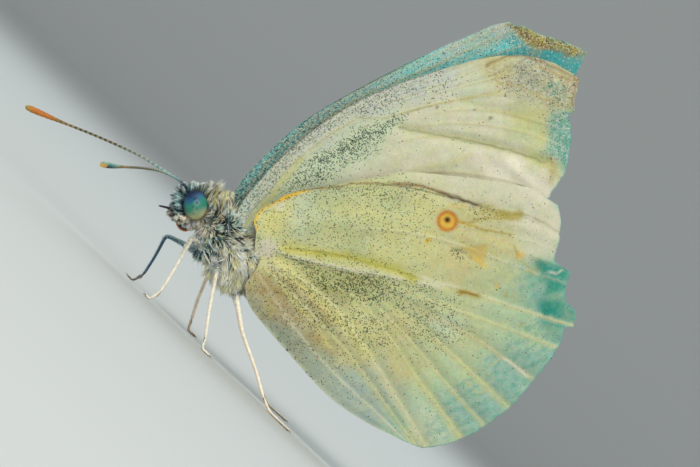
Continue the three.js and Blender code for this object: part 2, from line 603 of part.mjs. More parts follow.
// Whether a place on the skin is taken up by a thigh.
function nearHip(point) {
  return Object.values(LEGS).some(([hip, knee]) => {
    const thigh = new THREE.Line3(new THREE.Vector3(...hip), new THREE.Vector3(...knee));
    const nearest = thigh.closestPointToPoint(point, true, new THREE.Vector3());
    return nearest.distanceTo(point) < THIGH_RADIUS + LOCK_HALF_WIDTH;
  });
}

const THORAX_ROWS = 7;
const THORAX_ROUND = 13;
const THORAX_COAT = [-1.95, 2.1]; // the first and the last row's x
const COLLAR_UP = 0.4; // locks that start higher than this share of the thorax form the collar
const COLLAR_RISE = 0.75; // how much higher the collar stands than the other locks
function thoraxLocks() {
  const locks = [];
  for (let row = 0; row < THORAX_ROWS; row++)
    for (let place = 0; place < THORAX_ROUND; place++) {
      const x = THREE.MathUtils.lerp(...THORAX_COAT, row / (THORAX_ROWS - 1)) + chance(-0.1, 0.1);
      const angle = ((place + (row % 2) / 2 + chance(-0.15, 0.15)) / THORAX_ROUND) * 2 * Math.PI;
      const up = Math.sin(angle);
      const { point, normal } = onThorax(x, angle);
      const underForewing = up > 0.72 && x > -1.3;
      const underHindwing = up > 0.05 && x > -0.3;
      if (underForewing || underHindwing || nearHip(point)) continue;
      const front = THREE.MathUtils.smoothstep(-x, 0.9, 1.9);
      const lie = new THREE.Vector3(0.85 - 1.2 * front, 0, -0.45 + front * (0.5 + 0.5 * up));
      lie.addScaledVector(normal, -lie.dot(normal)).normalize();
      const collar = up > COLLAR_UP ? front : 0;
      const length = 1.15 + chance(-0.2, 0.25) - 0.4 * front + 0.2 * collar;
      const rise = 0.42 + 0.3 * front + COLLAR_RISE * collar + chance(-0.08, 0.08);
      locks.push(lock(point, normal, lie, length, rise));
    }
  return wasm.Manifold.union(locks);
}

// Rings of locks round the face, the crown and the cheeks, all leaning forward off the head.
const HEAD_RINGS = [
  { forward: 0.75, around: 7, start: 0.25, length: 0.5, rise: 0.42 },
  { forward: 0.3, around: 9, start: 0.1, length: 0.6, rise: 0.4 },
  { forward: -0.25, around: 9, start: 0.3, length: 0.6, rise: 0.36 },
];
function headLocks() {
  const [rx, ry, rz] = HEAD_RADII;
  const centre = new THREE.Vector3(...SKULL_CENTRE);
  const locks = [];
  for (const { forward, around, start, length, rise } of HEAD_RINGS)
    for (let place = 0; place < around; place++) {
      const angle = ((place + start + chance(-0.12, 0.12)) / around) * 2 * Math.PI;
      const reach = Math.sqrt(1 - forward ** 2);
      const unit = new THREE.Vector3(-forward, Math.cos(angle) * reach, Math.sin(angle) * reach);
      const point = new THREE.Vector3(unit.x * rx, unit.y * ry, unit.z * rz).add(centre);
      const normal = new THREE.Vector3(unit.x / rx, unit.y / ry, unit.z / rz).normalize();
      const lie = new THREE.Vector3(-0.8, 0, 0.35);
      lie.addScaledVector(normal, -lie.dot(normal)).normalize();
      locks.push(lock(point, normal, lie, length + chance(-0.1, 0.1), rise + chance(-0.06, 0.06)));
    }
  return wasm.Manifold.union(locks);
}

// A slab of everything ahead of the neck, or behind it, leaving half a gap at the neck itself.
const NECK = [-2.25, 0.65];
const NECK_LEAN = -22; // degrees that the parting between head and thorax leans forward
function sideOfNeck(ahead) {
  const reach = 30; // more than the whole animal
  const [from, to] = ahead ? [-reach, -GAP / 2] : [GAP / 2, reach];
  const slab = box([from, -reach, -reach], [to, reach, reach]);
  return slab.rotate([0, NECK_LEAN, 0]).translate([NECK[0], 0, NECK[1]]);
}

// ---- The animal -----------------------------------------------------------------------------
const eyes = [eye(), mirrored(eye())];
const roomForEyes = eye(GAP).add(mirrored(eye(GAP)));
const palpRight = palp().subtract(headCore(GAP)).subtract(roomForEyes).subtract(tongue(GAP));

// The thorax with its locks, which leave room for the wings, the legs and the head.
function thorax() {
  const limbs = Object.values(LEGS).map((way) => legTube(way, GAP));
  const others = wasm.Manifold.union([...Object.values(wingSheets(GAP)), ...limbs]);
  const locks = thoraxLocks().intersect(sideOfNeck(false)).subtract(others);
  return thoraxCore().add(locks);
}

// The head with its locks, which leave room for the eyes, the feelers and the mouthparts.
function head() {
  const mouthparts = [palp(GAP), mirrored(palp(GAP)), tongue(GAP)];
  const feelers = [feelerTube(LEFT_FEELER, GAP), feelerTube(RIGHT_FEELER, GAP)];
  const locks = headLocks().subtract(wasm.Manifold.union([roomForEyes, ...mouthparts]));
  const furred = onFace(headCore().add(locks).subtract(roomForEyes));
  const skull = furred.subtract(wasm.Manifold.union(feelers));
  const neck = limb([[-3.2, 0, 0.85], [-1.6, 0, 0.62]], () => NECK_RADIUS, BODY_SIDES, 2);
  const joined = skull.add(neck.subtract(onFace(roomForEyes)));
  return joined.intersect(sideOfNeck(true)).subtract(thoraxCore(GAP));
}

const body = new THREE.Group();
for (const [name, sheet] of Object.entries(wingSheets()))
  body.add(node(name, wing(sheet, name), name.startsWith("fore") ? FOREWING_FINISH : HINDWING_FINISH));
body.add(node("thorax", thorax(), COAT_FINISH));
body.add(node("abdomen", abdomen(), COAT_FINISH));
body.add(node("head", head(), COAT_FINISH));
body.add(node("eye_right", onFace(eyes[0]), EYE_FINISH));
body.add(node("eye_left", onFace(eyes[1]), EYE_FINISH));
body.add(node("palp_right", onFace(palpRight), FEELER_FINISH));
body.add(node("palp_left", onFace(mirrored(palpRight)), FEELER_FINISH));
body.add(node("proboscis", onFace(tongue().subtract(headCore(GAP))), TONGUE_FINISH));
body.add(node("antenna_right", feeler(RIGHT_FEELER), FEELER_FINISH));
body.add(node("antenna_left", feeler(LEFT_FEELER), FEELER_FINISH));
for (const [name, way] of Object.entries(LEGS)) body.add(node(name, leg(way), LEG_FINISH));

// ---- Standing on the floor ------------------------------------------------------------------
const animal = new THREE.Group();
animal.add(body);
const bounds = new THREE.Box3().setFromObject(animal);
const middle = bounds.getCenter(new THREE.Vector3());
body.position.set(-middle.x, -middle.y, STAND_HEIGHT);

export default animal;
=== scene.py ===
# %% [markdown]
# # A small white butterfly, made in Blender
#
# The animal stands on a plain floor with its wings shut over its back. Under each part there is
# already a solid with the right size and place. This lesson dresses those solids: it grows thin
# veined wings, a furry skin, eyes, feelers and legs over them, and gives each its finish.
#
# Lengths are thought of in millimetres from the middle of the thorax: x runs to the tail, y to
# the insect's right side and z up. One helper turns them into Blender's metres.

# %% Load the solids
import math

import bpy
import numpy as np
from mathutils import Matrix, Vector


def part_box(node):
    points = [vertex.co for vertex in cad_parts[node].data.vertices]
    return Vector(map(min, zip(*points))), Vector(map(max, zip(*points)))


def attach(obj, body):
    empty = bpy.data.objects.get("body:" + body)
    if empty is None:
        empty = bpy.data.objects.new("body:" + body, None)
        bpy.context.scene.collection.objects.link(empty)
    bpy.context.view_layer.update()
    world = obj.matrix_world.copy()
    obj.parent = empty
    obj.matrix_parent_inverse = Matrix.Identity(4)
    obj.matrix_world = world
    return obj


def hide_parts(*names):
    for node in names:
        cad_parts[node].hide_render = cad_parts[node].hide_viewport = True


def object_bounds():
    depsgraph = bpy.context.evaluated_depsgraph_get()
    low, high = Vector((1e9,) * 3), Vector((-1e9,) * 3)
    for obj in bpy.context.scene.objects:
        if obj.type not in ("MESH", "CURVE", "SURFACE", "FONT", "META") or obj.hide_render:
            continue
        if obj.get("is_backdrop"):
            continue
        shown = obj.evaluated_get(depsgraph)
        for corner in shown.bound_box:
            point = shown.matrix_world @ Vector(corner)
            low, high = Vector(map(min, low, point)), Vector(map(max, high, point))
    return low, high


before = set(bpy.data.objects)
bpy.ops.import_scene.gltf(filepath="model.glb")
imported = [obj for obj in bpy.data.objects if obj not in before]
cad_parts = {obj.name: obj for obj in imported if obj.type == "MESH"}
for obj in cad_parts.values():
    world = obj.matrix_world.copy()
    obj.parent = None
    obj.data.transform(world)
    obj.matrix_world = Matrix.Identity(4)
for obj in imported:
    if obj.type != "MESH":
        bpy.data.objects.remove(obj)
CAD_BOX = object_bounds()
MM = 0.001
print("solids:", len(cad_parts))

# %% [markdown]
# Every piece hangs on one known point. The eyes are the best landmark: their middles lie 3.37 mm
# ahead of the thorax's middle and 0.89 mm above it, and the body's mid-plane runs between them.

# %% Find the middle of the thorax
EYE_AHEAD, EYE_ABOVE = 3.37, 0.89


def box_middle(node):
    """The middle of a solid's box, in metres."""
    low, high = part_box(node)
    return (np.array(low) + np.array(high)) / 2


left_eye, right_eye = box_middle("eye_left"), box_middle("eye_right")
THORAX = (left_eye + right_eye) / 2 + np.array([EYE_AHEAD, 0, -EYE_ABOVE]) * MM
FLOOR_Z = -THORAX[2] / MM


def at(places):
    """Millimetres from the thorax's middle, turned into metres in the scene."""
    return np.asarray(places, dtype=float) * MM + THORAX


print("thorax middle (mm):", np.round(THORAX / MM, 3), "floor at", round(FLOOR_Z, 2))

# %% [markdown]
# ## Making a mesh
#
# The butterfly is built from thousands of small faces that numbers place better than hands do.
# So one helper turns arrays of corners and faces into an object, hangs it on the animal, and
# hides the solids it stands for. Foreach_set fills a mesh far faster than a Python loop.

# %% A helper that turns arrays into an object
SEED = 417
RNG = np.random.default_rng(SEED)


def make_piece(name, corners, faces, finish, replaces=()):
    """A mesh object from millimetre corners and faces with a fixed number of corners each."""
    mesh = bpy.data.meshes.new(name)
    corners = np.asarray(corners, dtype=float)
    groups = faces if isinstance(faces, (list, tuple)) else [faces]
    loops = np.concatenate([g.reshape(-1) for g in groups])
    sizes = np.concatenate([np.full(len(g), g.shape[1]) for g in groups])
    mesh.vertices.add(len(corners))
    mesh.vertices.foreach_set("co", at(corners).ravel())
    mesh.loops.add(len(loops))
    mesh.loops.foreach_set("vertex_index", loops.astype(np.int32))
    mesh.polygons.add(len(sizes))
    starts = np.concatenate([[0], np.cumsum(sizes)[:-1]])
    mesh.polygons.foreach_set("loop_start", starts.astype(np.int32))
    mesh.polygons.foreach_set("use_smooth", np.full(len(sizes), True))
    mesh.update(calc_edges=True)
    mesh.validate()
    piece = bpy.data.objects.new(name, mesh)
    bpy.context.collection.objects.link(piece)
    mesh.materials.append(finish)
    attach(piece, "root")
    if replaces:
        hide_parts(*replaces)
    return piece


def paint(piece, name, values):
    """Store a number (or a colour) at each corner of a mesh, for its finish to read."""
    values = np.asarray(values, dtype=float)
    if values.ndim == 1:
        layer = piece.data.attributes.new(name, "FLOAT", "POINT")
        layer.data.foreach_set("value", values)
    else:
        layer = piece.data.attributes.new(name, "FLOAT_COLOR", "POINT")
        rgba = np.column_stack([values, np.ones(len(values))])
        layer.data.foreach_set("color", rgba.ravel())


print("random draws start from seed", SEED)

# %% [markdown]
# ## Camera
#
# The butterfly is seen square on from its left side, and the picture is turned so that the body
# climbs to the right. A long lens from 35 cm away keeps the near and far wings the same size.

# %% Set the camera
BODY_TURN = math.radians(43)
VIEW_MIDDLE = [5.14, 0.0, 6.24]
CAMERA_AWAY = 350.0
VIEW_WIDTH = 44.87

camera_data = bpy.data.cameras.new("camera")
camera_data.lens = camera_data.sensor_width * CAMERA_AWAY / VIEW_WIDTH
camera_data.clip_start = 0.01
camera = bpy.data.objects.new("camera", camera_data)
bpy.context.collection.objects.link(camera)
bpy.context.scene.camera = camera
camera.location = at([VIEW_MIDDLE[0], -CAMERA_AWAY, VIEW_MIDDLE[2]])
picture_right = Vector((math.cos(BODY_TURN), 0, math.sin(BODY_TURN)))
picture_up = Vector((-math.sin(BODY_TURN), 0, math.cos(BODY_TURN)))
camera.rotation_euler = Matrix((picture_right, picture_up, Vector((0, -1, 0)))).transposed().to_euler()
print("lens", round(camera_data.lens, 1), "mm, camera", round(camera.location.z / MM, 1), "mm up")

# %% [markdown]
# ## Stage and light
#
# A pale floor sweeps up behind the animal, so no corner shows. It bends far enough away that the
# camera still stands in front of it when the animal is looked at from behind. Three wide lamps
# stand in for an overcast sky: a warm key light high on the camera's side, a weaker fill beside
# it, and a cool one behind the wings.

# %% Build the floor and the sweep behind it
def plain_finish(name, colour, roughness):
    material = bpy.data.materials.new(name)
    material.use_nodes = True
    shader = material.node_tree.nodes["Principled BSDF"]
    shader.inputs["Base Color"].default_value = (*colour, 1)
    shader.inputs["Roughness"].default_value = roughness
    return material


SWEEP_AWAY, SWEEP_RADIUS, SWEEP_SIDE, SWEEP_TOP = 640.0, 140.0, 900.0, 900.0
SWEEP_BENDS = 13
FLOOR_COLOUR, FLOOR_ROUGHNESS = (0.52, 0.54, 0.52), 0.9
bend = np.linspace(0, math.pi / 2, SWEEP_BENDS)
profile = [(-SWEEP_SIDE, 0.0), (SWEEP_AWAY, 0.0)]
profile += [(SWEEP_AWAY + SWEEP_RADIUS * math.sin(a), SWEEP_RADIUS * (1 - math.cos(a))) for a in bend]
profile += [(SWEEP_AWAY + SWEEP_RADIUS, SWEEP_TOP)]
sweep_mesh = bpy.data.meshes.new("sweep")
sweep_corners = [(side * SWEEP_SIDE * MM, y * MM, z * MM) for y, z in profile for side in (-1, 1)]
sweep_faces = [(2 * i, 2 * i + 1, 2 * i + 3, 2 * i + 2) for i in range(len(profile) - 1)]
sweep_mesh.from_pydata(sweep_corners, [], sweep_faces)
for face in sweep_mesh.polygons:
    face.use_smooth = True
sweep = bpy.data.objects.new("sweep", sweep_mesh)
bpy.context.collection.objects.link(sweep)
sweep_mesh.materials.append(plain_finish("pale floor", FLOOR_COLOUR, FLOOR_ROUGHNESS))
sweep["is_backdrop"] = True
print("stage:", len(sweep_faces), "strips")

# %% Set the lamps
LAMP_AIM = [6, 0, 8]


def soft_lamp(name, place, size, watts, colour):
    lamp = bpy.data.lights.new(name, "AREA")
    lamp.size = size * MM
    lamp.energy = watts
    lamp.color = colour
    holder = bpy.data.objects.new(name, lamp)
    bpy.context.collection.objects.link(holder)
    holder.location = at(place)
    direction = Vector(at(LAMP_AIM) - at(place))
    holder.rotation_euler = direction.to_track_quat("-Z", "Y").to_euler()
    return holder


lamps = [
    soft_lamp("key lamp", [-150, -260, 300], 260, 1.06, (1.0, 0.97, 0.9)),
    soft_lamp("fill lamp", [260, -300, 120], 300, 0.46, (0.9, 0.96, 1.0)),
    soft_lamp("back lamp", [60, 240, 260], 240, 0.5, (0.88, 0.97, 1.0)),
]
world = bpy.data.worlds.new("soft sky")
bpy.context.scene.world = world
world.use_nodes = True
sky = world.node_tree.nodes["Background"].inputs
sky["Color"].default_value = (0.86, 0.9, 0.95, 1)
sky["Strength"].default_value = 0.54
bpy.context.scene.view_settings.view_transform = "Standard"
print("lamps:", len(lamps))

# %% [markdown]
# ## Wings: the drawing
#
# A butterfly's wing is a sheet thinner than paper, stretched between stiff veins that fan out
# from the hinge. It could be cut from a flat sheet, but then the veins would run across its
# faces. Here the faces follow the veins: each vein is a row of edges from hinge to margin, so a
# ridge can be raised exactly along it and its colour stays crisp.
#
# A wing is drawn in the x-z plane by its front edge, its outer margin, its hind edge and its
# veins. Runs of the margin that meet at a corner are listed apart, which is how the torn
# notches stay sharp.

# %% Draw smooth lines and find where they meet
STEPS_EACH = 24


def smooth_line(places):
    """A smooth curve that passes through every place."""
    p = np.asarray(places, dtype=float)
    if len(p) == 2:
        return p[0] + (p[1] - p[0]) * np.linspace(0, 1, 4)[:, None]
    p = np.vstack([2 * p[0] - p[1], p, 2 * p[-1] - p[-2]])
    t = np.linspace(0, 1, STEPS_EACH, endpoint=False)[:, None]
    bits = []
    for a, b, c, d in zip(p[:-3], p[1:-2], p[2:-1], p[3:]):
        slope, sag, twist = c - a, 2 * a - 5 * b + 4 * c - d, 3 * b - a - 3 * c + d
        bits.append(0.5 * (2 * b + slope * t + sag * t**2 + twist * t**3))
    return np.vstack([*bits, p[-2:-1]])


def distance_run(line):
    """How far along a line each of its places lies."""
    leaps = np.diff(line, axis=0)
    steps = np.hypot(*leaps.T) if line.shape[1] == 2 else np.linalg.norm(leaps, axis=1)
    return np.concatenate([[0], np.cumsum(steps)])


def along(line, shares):
    """Places at given shares of a line's length."""
    run = distance_run(line)
    wanted = np.asarray(shares) * run[-1]
    return np.column_stack([np.interp(wanted, run, line[:, k]) for k in range(line.shape[1])])


def smooth_way(places, count):
    """Evenly spaced places along a smooth curve."""
    return along(smooth_line(places), np.linspace(0, 1, count))


def joined(runs):
    """Smooth curves set end to end, with a corner wherever two of them meet."""
    return np.vstack([smooth_line(run)[:-1] for run in runs[:-1]] + [smooth_line(runs[-1])])


def first_crossing(line, margin):
    """Where a line first meets the margin: its step, the place, and the share of the margin's length."""
    p, d = line[:-1, None], (line[1:] - line[:-1])[:, None]
    q, e = margin[None, :-1], (margin[1:] - margin[:-1])[None]
    cross = d[..., 0] * e[..., 1] - d[..., 1] * e[..., 0]
    cross = np.where(np.abs(cross) < 1e-12, 1e-12, cross)
    s = ((q - p)[..., 0] * e[..., 1] - (q - p)[..., 1] * e[..., 0]) / cross
    t = ((q - p)[..., 0] * d[..., 1] - (q - p)[..., 1] * d[..., 0]) / cross
    hits = np.argwhere((s >= 0) & (s <= 1) & (t >= 0) & (t <= 1))
    if not len(hits):
        raise ValueError(f"a vein misses the margin near {line[-1]}")
    i, j = hits[0]
    run = distance_run(margin)
    return i, p[i, 0] + d[i, 0] * s[i, j], (run[j] + t[i, j] * (run[j + 1] - run[j])) / run[-1]


def distance_to(places, line):
    """How far each place is from a line, in the plane."""
    line = np.asarray(line, dtype=float)
    best = np.full(len(places), 1e9)
    for a, b in zip(line[:-1], line[1:]):
        span = b - a
        share = np.clip(((places - a) @ span) / max(span @ span, 1e-12), 0, 1)
        best = np.minimum(best, np.hypot(*(places - a - share[:, None] * span).T))
    return best


print("a smooth line through 3 places has", len(smooth_line([(0, 0), (1, 1), (2, 0)])), "points")

# %% Draw the forewings and hindwings
# A vein is its way from the hinge, then the share of it that runs unseen inside the cell.
FOREWING_VEINS = [
    ([(-0.65, 1.55), (-1, 4.4), (-1.05, 6.8), (-0.7, 9.6), (0, 12.2), (1, 14.8), (2.4, 17.6), (4.6, 21.8)],
     0),
    ([(-0.6, 1.55), (-0.5, 4.3), (-0.65, 6.8), (-0.3, 9.3), (0.3, 11.6), (0.8, 13), (1.7, 14.9), (3, 17.4),
      (4.1, 19.8), (5.8, 23.2)], 0),
    ([(-0.55, 1.55), (-0.3, 4.3), (-0.35, 6.8), (0.1, 9.3), (0.7, 11.5), (1.2, 12.9), (2.1, 14.9),
      (3.5, 17.3), (5.3, 20.1), (7.9, 24.2)], 0.62),
    ([(-0.5, 1.53), (-0.1, 4.2), (0, 6.8), (0.5, 9.4), (1, 11.4), (1.5, 12.9), (2.3, 14.2), (3.4, 15.9),
      (5.2, 18.3), (6.8, 20), (8.4, 21.1), (11.2, 22.6)], 0.45),
    ([(-0.45, 1.5), (0.1, 4.1), (0.4, 6.8), (1, 9.4), (1.6, 11.4), (2.2, 12.9), (3.2, 14.6), (4.4, 16.3),
      (5.8, 17.7), (7.4, 18.8), (9.3, 19.8), (12.2, 21.4)], 0.6),
    ([(-0.4, 1.5), (0.3, 4.1), (0.8, 6.8), (1.5, 9.4), (2.1, 11.3), (2.8, 12.9), (4.2, 14.9), (6.2, 16.8),
      (8.4, 18.3), (10.3, 19.2), (13.2, 20.1)], 0.55),
    ([(-0.35, 1.48), (0.5, 4), (1.2, 6.7), (2, 9.3), (2.7, 11.1), (3.5, 12.8), (4.7, 14.3), (6.2, 15.6),
      (8.4, 16.8), (10.7, 17.8), (14, 18.3)], 0.5),
    ([(-0.25, 1.45), (0.9, 3.9), (2.1, 6.5), (3.4, 8.8), (4.8, 10.8), (6.5, 12.9), (8.6, 14.6), (11, 16),
      (14.2, 16.9)], 0.1),
    ([(-0.2, 1.43), (1.3, 3.5), (3.2, 6), (5.4, 8.3), (7.8, 10.6), (10.3, 12.7), (14.9, 15)], 0.45),
    ([(-0.15, 1.42), (1.6, 2.8), (3.9, 4.4), (7, 6.6), (10, 8.8), (12.7, 11.1), (15.2, 13.2)], 0),
]
HINDWING_VEINS = [
    ([(1.5, 1.15), (0.55, 2.5), (0.25, 3.5), (0.4, 4.5), (1, 5.7), (1.8, 6.8), (3, 8.1), (5.3, 10.6),
      (6.6, 11.6), (7.5, 12.05), (8.8, 12.6), (10, 13.2), (11.1, 13.9), (12.2, 14.6), (13.7, 15.1),
      (15.8, 15.7)], 0),
    ([(1.62, 1.25), (1.5, 3.3), (2.9, 5.9), (5.6, 8.9), (8.3, 10.8), (9.9, 11.4), (11, 12.1), (12.6, 13.1),
      (16.6, 14.9)], 0.62),
    ([(1.75, 1.3), (2.2, 3.2), (4.2, 5.7), (7.1, 8.3), (10, 10.1), (13, 11.4), (17.6, 13.4)], 0.3),
    ([(1.88, 1.28), (2.6, 2.6), (4, 3.8), (5.7, 4.9), (7.4, 5.8), (9.1, 6.7), (10.4, 7.3), (11.6, 7.9),
      (13, 8.6), (15.2, 9.6), (17, 10.4), (20.8, 12.2)], 0),
    ([(1.97, 1.2), (2.9, 2.2), (4.3, 3.3), (6.6, 4.5), (8.6, 5.3), (10.2, 6), (11.8, 6.6), (13.7, 7.4),
      (15.6, 8.2), (17.5, 9), (21, 10.4)], 0.5),
    ([(2.03, 1.12), (2.95, 2.05), (4.4, 3.05), (6.7, 4.15), (8.6, 4.85), (10.9, 5.5), (13.1, 6.1),
      (15.2, 6.7), (18.3, 7.2), (21.2, 7.5)], 0.55),
    ([(2.08, 1.04), (3, 1.9), (4.5, 2.85), (6.8, 3.85), (8.7, 4.4), (10.8, 4.75), (12.7, 4.95), (14.7, 5),
      (18.1, 5), (21.2, 5)], 0.5),
    ([(2.12, 0.95), (3.05, 1.75), (4.6, 2.65), (6.9, 3.55), (8.7, 3.95), (11.2, 3.9), (13.7, 3.7),
      (16.2, 3.4), (21, 3)], 0.4),
    ([(2.16, 0.86), (3.1, 1.6), (4.7, 2.4), (6.9, 3.15), (8.6, 3.5), (10.3, 3.3), (12.2, 2.95), (14.4, 2.4),
      (16.6, 2), (20.6, 1.2)], 0.2),
    ([(2.2, 0.77), (3, 1.35), (4.7, 1.9), (7.3, 2.05), (9.8, 1.75), (12.1, 1.2), (14.3, 0.6), (16.1, 0.1),
      (19, -0.8)], 0),
    ([(2.26, 0.6), (3.1, 0.85), (5, 0.85), (7.3, 0.75), (10, 0.55), (12.4, 0.15), (14.8, -0.35),
      (18.2, -0.95)], 0),
    ([(2.3, 0.4), (3.3, 0.2), (5.4, -0.3), (8.6, -0.9), (12.1, -1.05), (14.2, -1), (17.4, -1.1)], 0.3),
]
FOREWING_LEFT = dict(
    front=[(-0.75, 1.6), (-1.25, 2.9), (-1.4, 4.5), (-1.4, 6.6), (-1, 10), (-0.2, 12.9), (0.9, 15.4),
           (2.2, 17.8)],
    margin=[
        [(2.2, 17.8), (3.6, 20.1), (5.1, 21.8), (6.7, 22.9), (8, 23.3), (9.1, 23.5)],
        [(9.1, 23.5), (9.5, 22.9), (9.9, 22.2), (10.4, 21.7)],
        [(10.4, 21.7), (10.1, 21.4)],
        [(10.1, 21.4), (11.1, 20.6), (12, 19.4), (12.6, 18.3), (12.8, 17)],
        [(12.8, 17), (13.4, 15), (14, 12.4)],
        [(14, 12.4), (13.8, 11.6), (13.1, 10.7)],
    ],
    hind=[(-0.1, 1.4), (0.8, 1.9), (3.5, 3.4), (8.7, 7), (13.1, 10.7)],
    veins=FOREWING_VEINS,
    worn_from=3,
)
HINDWING_LEFT = dict(
    front=[(2.09, 1.42), (1.31, 1.93), (0.60, 2.31), (0.16, 2.60), (-0.03, 3.04), (-0.04, 3.52), (0.06, 3.98),
           (0.30, 4.57), (0.6, 5.5), (2.1, 7.6), (4, 10.1), (5.2, 11.7), (7.4, 13.3)],
    margin=[
        [(7.4, 13.3), (9.4, 14.8), (11.5, 16.2), (12.8, 16.5)],
        [(12.8, 16.5), (13.9, 16.5), (15.1, 15.2), (15.9, 13.8)],
        [(15.9, 13.8), (17.1, 14.1)],
        [(17.1, 14.1), (17.5, 13.3), (18.1, 12.4)],
        [(18.1, 12.4), (19.1, 12.4), (19.7, 11.6)],
        [(19.7, 11.6), (19.2, 11.2)],
        [(19.2, 11.2), (19.7, 10.4), (20, 9), (20.1, 7.3), (20.2, 5.2), (19.7, 2.6), (18.9, 0.7),
         (17.9, -0.6)],
        [(17.9, -0.6), (17.2, -0.95), (16.4, -1.2)],
    ],
    hind=[(2.3, 0.2), (2.6, -0.8), (3.6, -1.5), (5.3, -1.8), (8.2, -2.1), (11.3, -2.3), (14, -1.9),
          (16.4, -1.2)],
    veins=HINDWING_VEINS,
    worn_from=1,
)
# The right hindwing kept its teeth rounded; the right forewing is raised and lost its tip.
HINDWING_RIGHT = dict(HINDWING_LEFT)
HINDWING_RIGHT["margin"] = [
    *HINDWING_LEFT["margin"][:2],
    [(15.9, 13.8), (16.9, 13.2), (18, 12.1), (18.8, 11.3)],
    [(18.8, 11.3), *HINDWING_LEFT["margin"][6][1:]],
    HINDWING_LEFT["margin"][7],
]
RAISED, AHEAD = math.radians(3.2), -0.5
FOREWING_HINGE = np.array([-0.4, 1.7])


def raise_wing(places):
    """Turn places of the left forewing to where the right one holds them."""
    turn = np.array([[math.cos(RAISED), -math.sin(RAISED)], [math.sin(RAISED), math.cos(RAISED)]])
    return (np.asarray(places) - FOREWING_HINGE) @ turn.T + FOREWING_HINGE + [AHEAD, 0]


FOREWING_RIGHT = dict(
    front=[(-1.1, 1.6), (-1.9, 2.6), (-2.25, 3.9), (-2.3, 5.8), (-2, 9.2), (-1.2, 12.2), (-0.3, 14.9),
           (0.7, 17.6)],
    margin=[
        [(0.7, 17.6), (1.8, 20.2), (2.7, 22.2), (3.3, 23.1)],
        [(3.3, 23.1), (4, 23.4), (4.2, 23.6), (5.3, 23.9), (6.5, 24.5), (8.3, 25.2)],
        [(8.3, 25.2), (8.7, 23.9)],
        [(8.7, 23.9), (10, 21.2), (11.2, 19), (12, 17.4), (12.6, 15.4)],
        [(12.6, 15.4), (13, 14), (13.2, 12)],
        [(13.2, 12), (13, 11.2), (12.3, 10.3)],
    ],
    hind=[(-0.6, 1.35), (0.4, 1.7), (3.3, 3.2), (8.3, 6.9), (12.3, 10.3)],
    veins=[(raise_wing(way), hidden) for way, hidden in FOREWING_VEINS],
    worn_from=1,
)
print("veins:", len(FOREWING_VEINS), "on a forewing,", len(HINDWING_VEINS), "on a hindwing")

# %% [markdown]
# ## Wings: the sheet
#
# Between two veins the sheet is cut into narrow columns, packed closer beside the veins. The last
# row is bent onto the margin, so every notch is a real edge. How far out the sheet lies comes from
# what it must clear: the forewings meet over the back, the hindwings lie outside them and bow
# round the abdomen. Both faces are made, a tenth of a millimetre apart, so a wing is a true solid.

# %% Place the wings' sheets
ROWS = 150
COLUMNS_BETWEEN = 17
ROOT_STEPS, OVERSHOOT = 8, 6
EDGE_PLACES, WORN_PLACES = 420, 300
WAVE_COUNT, FULL_TURN = 9, 6.28
MEMBRANE = 0.1
VEIN_RISE, VEIN_REACH = 0.04, 0.11
ABDOMEN_FROM, ABDOMEN_TO, ABDOMEN_RADIUS = 2.9, 11.3, 1.25


def fade(low, high, value):
    """Zero below low, one above high, and a smooth slope between."""
    share = np.clip((value - low) / (high - low), 0, 1)
    return share * share * (3 - 2 * share)


def bell(gap, width, power=2):
    """One where the gap is zero, and nothing far beyond the width."""
    return np.exp(-((gap / width) ** power))


def abdomen_radius(x):
    share = (np.clip(x, ABDOMEN_FROM, ABDOMEN_TO) - ABDOMEN_FROM) / (ABDOMEN_TO - ABDOMEN_FROM)
    taper = np.clip((share - 0.35) / 0.65, 0, 1) ** 2.2
    return ABDOMEN_RADIUS * np.sqrt(np.clip(1 - taper, 0, 1)) * (0.92 + 0.08 * share)


def abdomen_height(x):
    return -0.1 + 0.06 * (x - ABDOMEN_FROM)


def forewing_out(x, z):
    return 0.4 + 0.8 * np.exp(-((x + 0.4) ** 2 + (z - 1.7) ** 2) / 1.3**2)


def hindwing_out(x, z):
    over = forewing_out(x, z) + 0.92
    room = abdomen_radius(x) + 0.55
    level = bell(z - abdomen_height(x), 1.55, 4)
    out = over + np.maximum(0, room - over) * level
    tuck = np.exp(-((x - 1.9) ** 2 + (z - 0.9) ** 2) / 0.9**2)
    return out - 0.45 * tuck


def waves(x, z, seed, size):
    """Soft random waves about as long as size, between about -1 and 1."""
    draw = np.random.default_rng(seed)
    total = np.zeros_like(x)
    for _ in range(WAVE_COUNT):
        turn, phase, stretch = draw.uniform(0, FULL_TURN, 3)
        pace = FULL_TURN / (size * (0.7 + 0.1 * stretch))
        total += np.sin((x * math.cos(turn) + z * math.sin(turn)) * pace + phase)
    return total / math.sqrt(WAVE_COUNT)


def faces_between(a, b):
    """Four-cornered faces between two rows of corner numbers, or two sets of rows."""
    return np.stack([a[:-1], a[1:], b[1:], b[:-1]], axis=-1).reshape(-1, 4)


